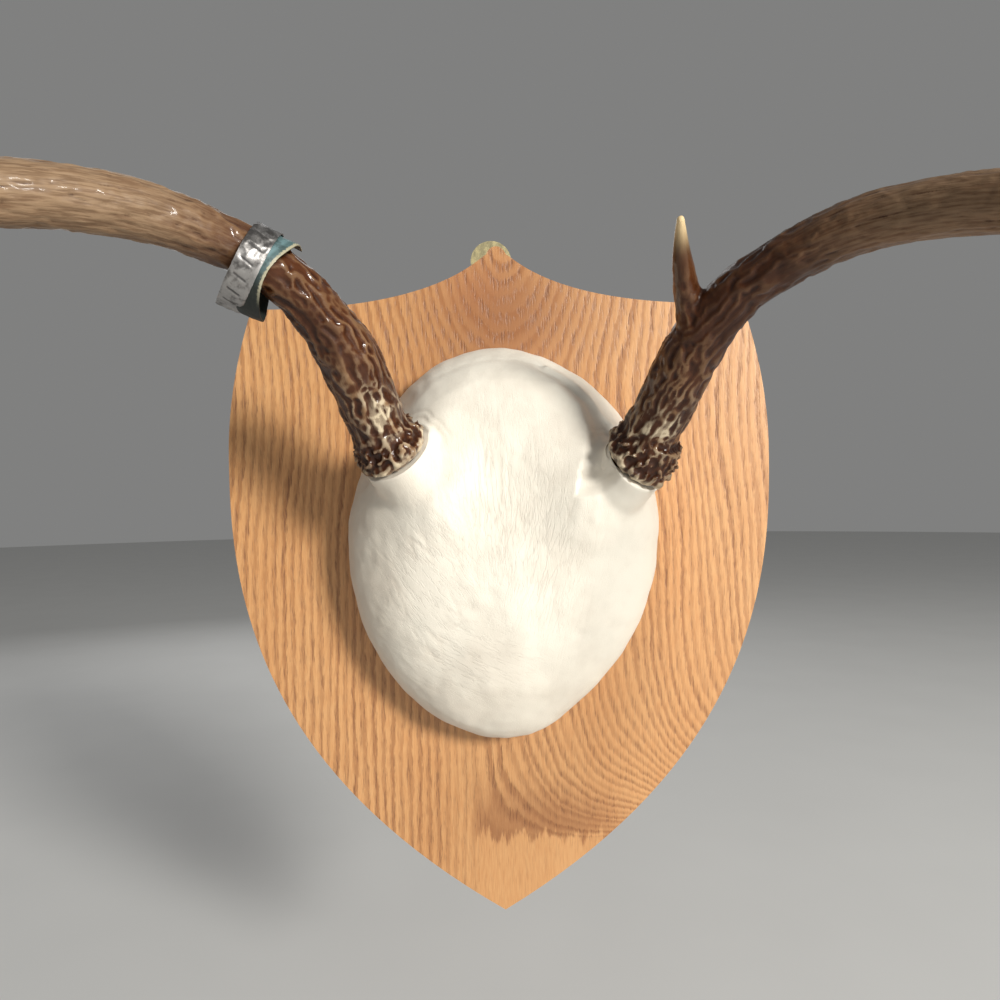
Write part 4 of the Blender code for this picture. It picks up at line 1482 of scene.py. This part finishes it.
def hide_relief(point, normal):
    """How far the hide stands out at a point, and how deep in a crease the point is."""
    x, z = point.x, point.z
    out = BOARD_FACE / MM - point.y
    facing = ramp(-normal.y, 0.05, 0.5)
    fold = sum(
        amount * oval(x, z, centre, size) * crease(x, z, turn, width, length, seed)
        for centre, size, turn, width, length, amount, seed in FOLDS
    )
    relief = (noise.noise(point * 0.075) * 0.7 + noise.noise(point * 0.22) * 0.16) * ramp(out, 1, 9)
    relief -= facing * fold * WRINKLE_DEPTH
    relief -= sum(depth * oval(x, z, centre, size) for centre, size, depth in DIMPLES)
    edge = from_line(x, z, PLATEAU_EDGE)
    fall = PLATEAU_FALLS[0] + (PLATEAU_FALLS[1] - PLATEAU_FALLS[0]) * ramp(x, 8, 24)
    slope = max(0.0, min(1.0, edge / fall, (PLATEAU_END - edge) / PLATEAU_RISE)) * ramp(out, 8, 20)
    relief -= PLATEAU_DROP * slope * (0.35 + 0.65 * ramp(x, -2, 16))
    rim = from_line(x, z, RIM_FOLD)
    relief += (1.0 * gauss(rim, 1.0) - 0.4 * gauss(rim + 3.0, 2.0)) * facing
    return relief, fold * facing


print("the plateau drops by", PLATEAU_DROP, "mm")

# %% Wrinkles
LIP_HEIGHT = 0.9
LIP_RADIUS = 15.6
RING_DEPTH = 0.34
RING_CREASES = ((17.6, 0.7, 1.0), (20.2, 0.6, 0.8))
COLLAR_TOP = -0.2
COLLAR_REACH = 5.5


def wrinkle(obj):
    """Carves the cover, lifts a lip under each burr and stores how deep each crease is."""
    seats = [
        (on_front(*seat) / MM, front_direction(*axis))
        for seat, axis in ((LEFT_SEAT, LEFT_AXIS), (RIGHT_SEAT, RIGHT_AXIS))
    ]
    mesh = obj.data
    moves, creases = [], []
    for vert in mesh.vertices:
        point = vert.co / MM
        relief, fold = hide_relief(point, vert.normal)
        ring, lift = 0.0, Vector((0, 0, 0))
        for number, (place, direction) in enumerate(seats):
            up = (point - place).dot(direction)
            side = (point - place - direction * up).length
            wobble = noise.noise(point * 0.22 + Vector((number * 9, 0, 0))) * 0.9
            lip = gauss(side - LIP_RADIUS - wobble * 0.5, 1.3) * ramp(up, -5, -1)
            near = ramp(up, -8, -3)
            for radius, width, share in RING_CREASES:
                ring += share * gauss(side - radius + wobble, width) * near
            relief += LIP_HEIGHT * lip
            collar = ramp(up, -COLLAR_REACH, -2.2) * ramp(side, 8.5, 11) * (1 - ramp(side, 14.6, 17))
            lift += direction * max(0.0, COLLAR_TOP - up) * collar
        relief -= RING_DEPTH * ring
        moves.append((vert.normal * relief + lift) * MM)
        # How deep each crease lies, which the material paints as shade.
        creases.append(min(1.0, fold * 0.8 + ring * 0.7))
    for vert, move in zip(mesh.vertices, moves):
        vert.co += move
    mesh.attributes.new("crease", "FLOAT", "POINT").data.foreach_set("value", creases)
    mesh.shade_smooth()
    print("deepest crease:", round(max(creases), 2))


wrinkle(leather_cover)

# %% [markdown]
# ## The wrapped tag
# A tag is a long thin strip, wound about one and a half times round the beam and hanging on it. A
# strip is easiest as rows of points: each row crosses the strip on its outer face and comes back on
# its inner one, and rows that follow a spiral make the winding. A row of plain slanted strokes is
# pressed into its outer face.

# %% The tag's spiral
TAG_STATION = 6.5
TAG_SLACK = 3.4
TAG_LEAN = 20


def tag_spiral():
    """The spiral's centre and its down, near and along directions, with its inner radius."""
    rows = beam_rows(LEFT_SEAT, LEFT_AXIS, LEFT_BEAM)
    place, diameter = route_point(rows, TAG_STATION)
    before = on_front(*route_point(rows, TAG_STATION - 0.3)[0])
    after = on_front(*route_point(rows, TAG_STATION + 0.3)[0])
    outward = (after - before).normalized()
    down = Vector((0, 0, -1))
    down = (down - down.dot(outward) * outward).normalized()
    axis = Matrix.Rotation(math.radians(TAG_LEAN), 3, down) @ outward
    near = axis.cross(down)
    if near.y > 0:
        near = -near
    centre = on_front(*place) / MM + down * (TAG_SLACK - 2 * FIT / MM)
    return centre, down, near, axis, diameter / 2 + TAG_SLACK


print("the tag's inner radius:", round(tag_spiral()[-1], 1), "mm")

# %% Strokes on the tag
STROKES = 6
STROKE_START = 0.075
STROKE_PITCH = 0.062
STROKE_LENGTH = 3.6
STROKE_SLANT = 0.28
STROKE_WIDTH = 0.36


def stroke_at(turn, across, radius):
    """How deep a point lies in the nearest stroke, from 0 to 1."""
    deepest = 0.0
    for number in range(STROKES):
        middle = STROKE_START + STROKE_PITCH * number
        along = (turn - middle) * math.tau * radius - STROKE_SLANT * across
        end = max(0.0, abs(across - 0.3) - STROKE_LENGTH / 2)
        deepest = max(deepest, 1 - ramp(math.hypot(along, end), STROKE_WIDTH * 0.4, STROKE_WIDTH * 1.6))
    return deepest


print("strokes:", STROKES)

# %% Dents and ragged edges
DENT_DEPTH = 0.26
KINK_DEPTH = 0.07
EDGE_WAVE = 0.25
EDGE_RAGGED = 0.22


def handled(turn, across, rim):
    """How far handling has pushed the strip out and across at a point, in millimetres."""
    crumple = 0.10 + 0.16 * ramp(turn, 0.26, 0.36) * (1 - ramp(turn, 0.6, 0.7))
    dents = noise.noise(Vector((turn * 11, across * 0.22, 4.4))) * DENT_DEPTH
    dents -= abs(noise.noise(Vector((turn * 24, across * 0.45, 1.7)))) * crumple * 2.2
    kinks = noise.noise(Vector((turn * 37, across * 0.5, 9.1))) * KINK_DEPTH
    waves = noise.noise(Vector((turn * 8, 1, across))) * EDGE_WAVE * rim
    ragged = noise.noise(Vector((turn * 60, (across > 0) * 5.0, 2.0))) * EDGE_RAGGED * rim
    return dents + kinks + waves, math.copysign(ragged, across)


def close_strip(bm, rings):
    """Joins each ring of points to the next one, and closes the strip's two ends."""
    around = len(rings[0])
    for first, second in zip(rings, rings[1:]):
        for corner in range(around):
            after = (corner + 1) % around
            bm.faces.new((first[corner], first[after], second[after], second[corner]))
    for ring in (rings[0], rings[-1]):
        for step in range(around // 2 - 1):
            bm.faces.new((ring[step], ring[step + 1], ring[around - 2 - step], ring[around - 1 - step]))


print("dents up to", DENT_DEPTH, "mm deep")

# %% Tag
TAG_WIDTH = 7.6
TAG_THICKNESS = 0.6
TAG_TURNS = 1.58
TAG_START = -25
TAG_TURN_GAP = 0.4
TAG_LEAD = 6.2
TAG_TUCK = 4.2
TUCK_TURN = 1.24
COUNTER_TURN = 0.97
TAG_SAG = 1.6
SAG_TURN = 0.99
TAG_ROWS = 420
TAG_ACROSS = 21
STROKE_DEPTH = 0.17


def make_tag():
    """The strip as rows of points along its spiral, with what its material needs stored on them."""
    centre, down, near, axis, inner = tag_spiral()
    bm = bmesh.new()
    rings, turns, edges, insides, strokes = [], [], [], [], []
    for row in range(TAG_ROWS + 1):
        turn = TAG_TURNS * row / TAG_ROWS
        angle = math.radians(TAG_START) + math.tau * turn
        outward = down * math.cos(angle) + near * math.sin(angle)
        radius = inner + (TAG_THICKNESS + TAG_TURN_GAP) * (TAG_TURNS - turn)
        tuck = TAG_TUCK * (gauss(turn - TUCK_TURN, 0.17) - 0.35 * gauss(turn - COUNTER_TURN, 0.12))
        sag = TAG_SAG * gauss(turn - SAG_TURN, 0.13)
        middle = centre + axis * (TAG_LEAD * (TAG_TURNS / 2 - turn) + tuck)
        curl = 1.1 * (1 - ramp(turn, 0.0, 0.035)) + 0.9 * ramp(turn, TAG_TURNS - 0.045, TAG_TURNS)
        ring = []
        for face in (1, -1):
            for step in range(TAG_ACROSS):
                across = face * TAG_WIDTH * (step / (TAG_ACROSS - 1) - 0.5)
                rim = ramp(abs(across) / (TAG_WIDTH / 2), 0.86, 1.0)
                dented, ragged = handled(turn, across, rim)
                pressed = stroke_at(turn, across, radius) if face == 1 else 0.0
                off = TAG_THICKNESS * (0.5 + face * 0.5 * (1 - 0.35 * rim)) - STROKE_DEPTH * pressed
                place = middle + outward * (radius + off + dented + sag + curl) + axis * (across + ragged)
                ring.append(bm.verts.new(place * MM))
                turns.append(turn)
                edges.append(-across / (TAG_WIDTH / 2))
                insides.append(float(face == -1))
                strokes.append(pressed)
        rings.append(ring)
    close_strip(bm, rings)
    bmesh.ops.recalc_face_normals(bm, faces=bm.faces)
    mesh = bpy.data.meshes.new("wrapped_tag")
    bm.to_mesh(mesh)
    bm.free()
    for name, values in (("turn", turns), ("edge", edges), ("inside", insides), ("stroke", strokes)):
        mesh.attributes.new(name, "FLOAT", "POINT").data.foreach_set("value", values)
    mesh.materials.append(tag_look)
    return smooth(add("wrapped_tag", mesh), 50)


wrapped_tag = make_tag()
closed_report(wrapped_tag)

# %% [markdown]
# ## Joining the pieces to the part
# Each dressed piece stands for the solid that it was made from. The part has no moving joints, so
# all its pieces ride on the one body.

# %% Ride and replace
PIECES = (
    (oak_shield, "oak", ("shield_plaque",)),
    (keyhole_hanger, "brass", ("hanger_plate",)),
    (hanger_screws, "brass", ("hanger_screw_1", "hanger_screw_2")),
    (leather_cover, "leather", ("leather_skull_cap",)),
    (left_antler, "antler", ("antler_left",)),
    (right_antler, "antler", ("antler_right",)),
    (wrapped_tag, "tag_metal", ("tag_band",)),
)
for piece, slot_name, nodes in PIECES:
    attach(piece, "root")
    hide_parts(*nodes)
print(len(PIECES), "pieces joined")

# %% [markdown]
# ## Floor and light
# In the photograph the light comes from high on the right and from in front, so the main light is a
# small panel there, and its shadows fall to the lower left with a soft edge. A weak low panel puts a
# glint under the left beam, another lights the back, and a pale world keeps the shadows open. The
# floor is plain and pale, well below the shield's point.

# %% Floor, lights and world
FLOOR_HEIGHT = -0.30
FLOOR_RADIUS = 6.0
PANELS = (
    ("daylight", (1.26, -1.55, 0.60), (0, 0, -0.03), 0.44, 53, (1.0, 0.98, 0.93)),
    ("low_glint", (-0.75, -0.60, -0.42), (0, 0, 0), 0.22, 1.6, (1.0, 1.0, 1.0)),
    ("back_fill", (-0.5, 1.1, 0.6), (0, 0, -0.03), 1.0, 3.4, (1.0, 1.0, 1.0)),
)
ROOM_COLOUR = (0.80, 0.80, 0.79, 1)
ROOM_STRENGTH = 0.27


def make_floor():
    bm = bmesh.new()
    bmesh.ops.create_circle(bm, cap_ends=True, segments=96, radius=FLOOR_RADIUS)
    mesh = bpy.data.meshes.new("pale_floor")
    bm.to_mesh(mesh)
    bm.free()
    mesh.transform(Matrix.Translation((0, 0, FLOOR_HEIGHT)))
    material, shader, place = new_finish("pale_floor")
    tone = place.clouds(0.01, 2).mix((0.66, 0.66, 0.65), (0.70, 0.70, 0.69))
    feed(shader, {"Roughness": 1.0, "Specular IOR Level": 0.05}, {"Base Color": tone})
    mesh.materials.append(material)
    return add("pale_floor", mesh)


def panel(name, place, aim, size, power, colour):
    """A square area light that looks at the aim."""
    data = bpy.data.lights.new(name, "AREA")
    data.size = size
    data.energy = power
    data.color = colour
    light = add(name, data)
    light.location = place
    light.rotation_euler = (Vector(aim) - Vector(place)).to_track_quat("-Z", "Y").to_euler()


floor = make_floor()
floor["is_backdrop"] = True
for values in PANELS:
    panel(*values)

world = bpy.data.worlds.new("pale_room")
world.use_nodes = True
background = world.node_tree.nodes["Background"]
background.inputs["Color"].default_value = ROOM_COLOUR
background.inputs["Strength"].default_value = ROOM_STRENGTH
scene.world = world
scene.view_settings.view_transform = "Standard"
print("floor at", FLOOR_HEIGHT, "m")

# %% [markdown]
# ## The last check of size
# The dressed pieces should stay inside the imported part's box, so the script prints how far they
# reach outside it, in millimetres, on each side.

# %% Compare the boxes and finish
dressed_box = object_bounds()
grown = [round(1000 * value, 2) for value in (*(cad_box[0] - dressed_box[0]), *(dressed_box[1] - cad_box[1]))]
print("outside the packed box, mm:", grown)
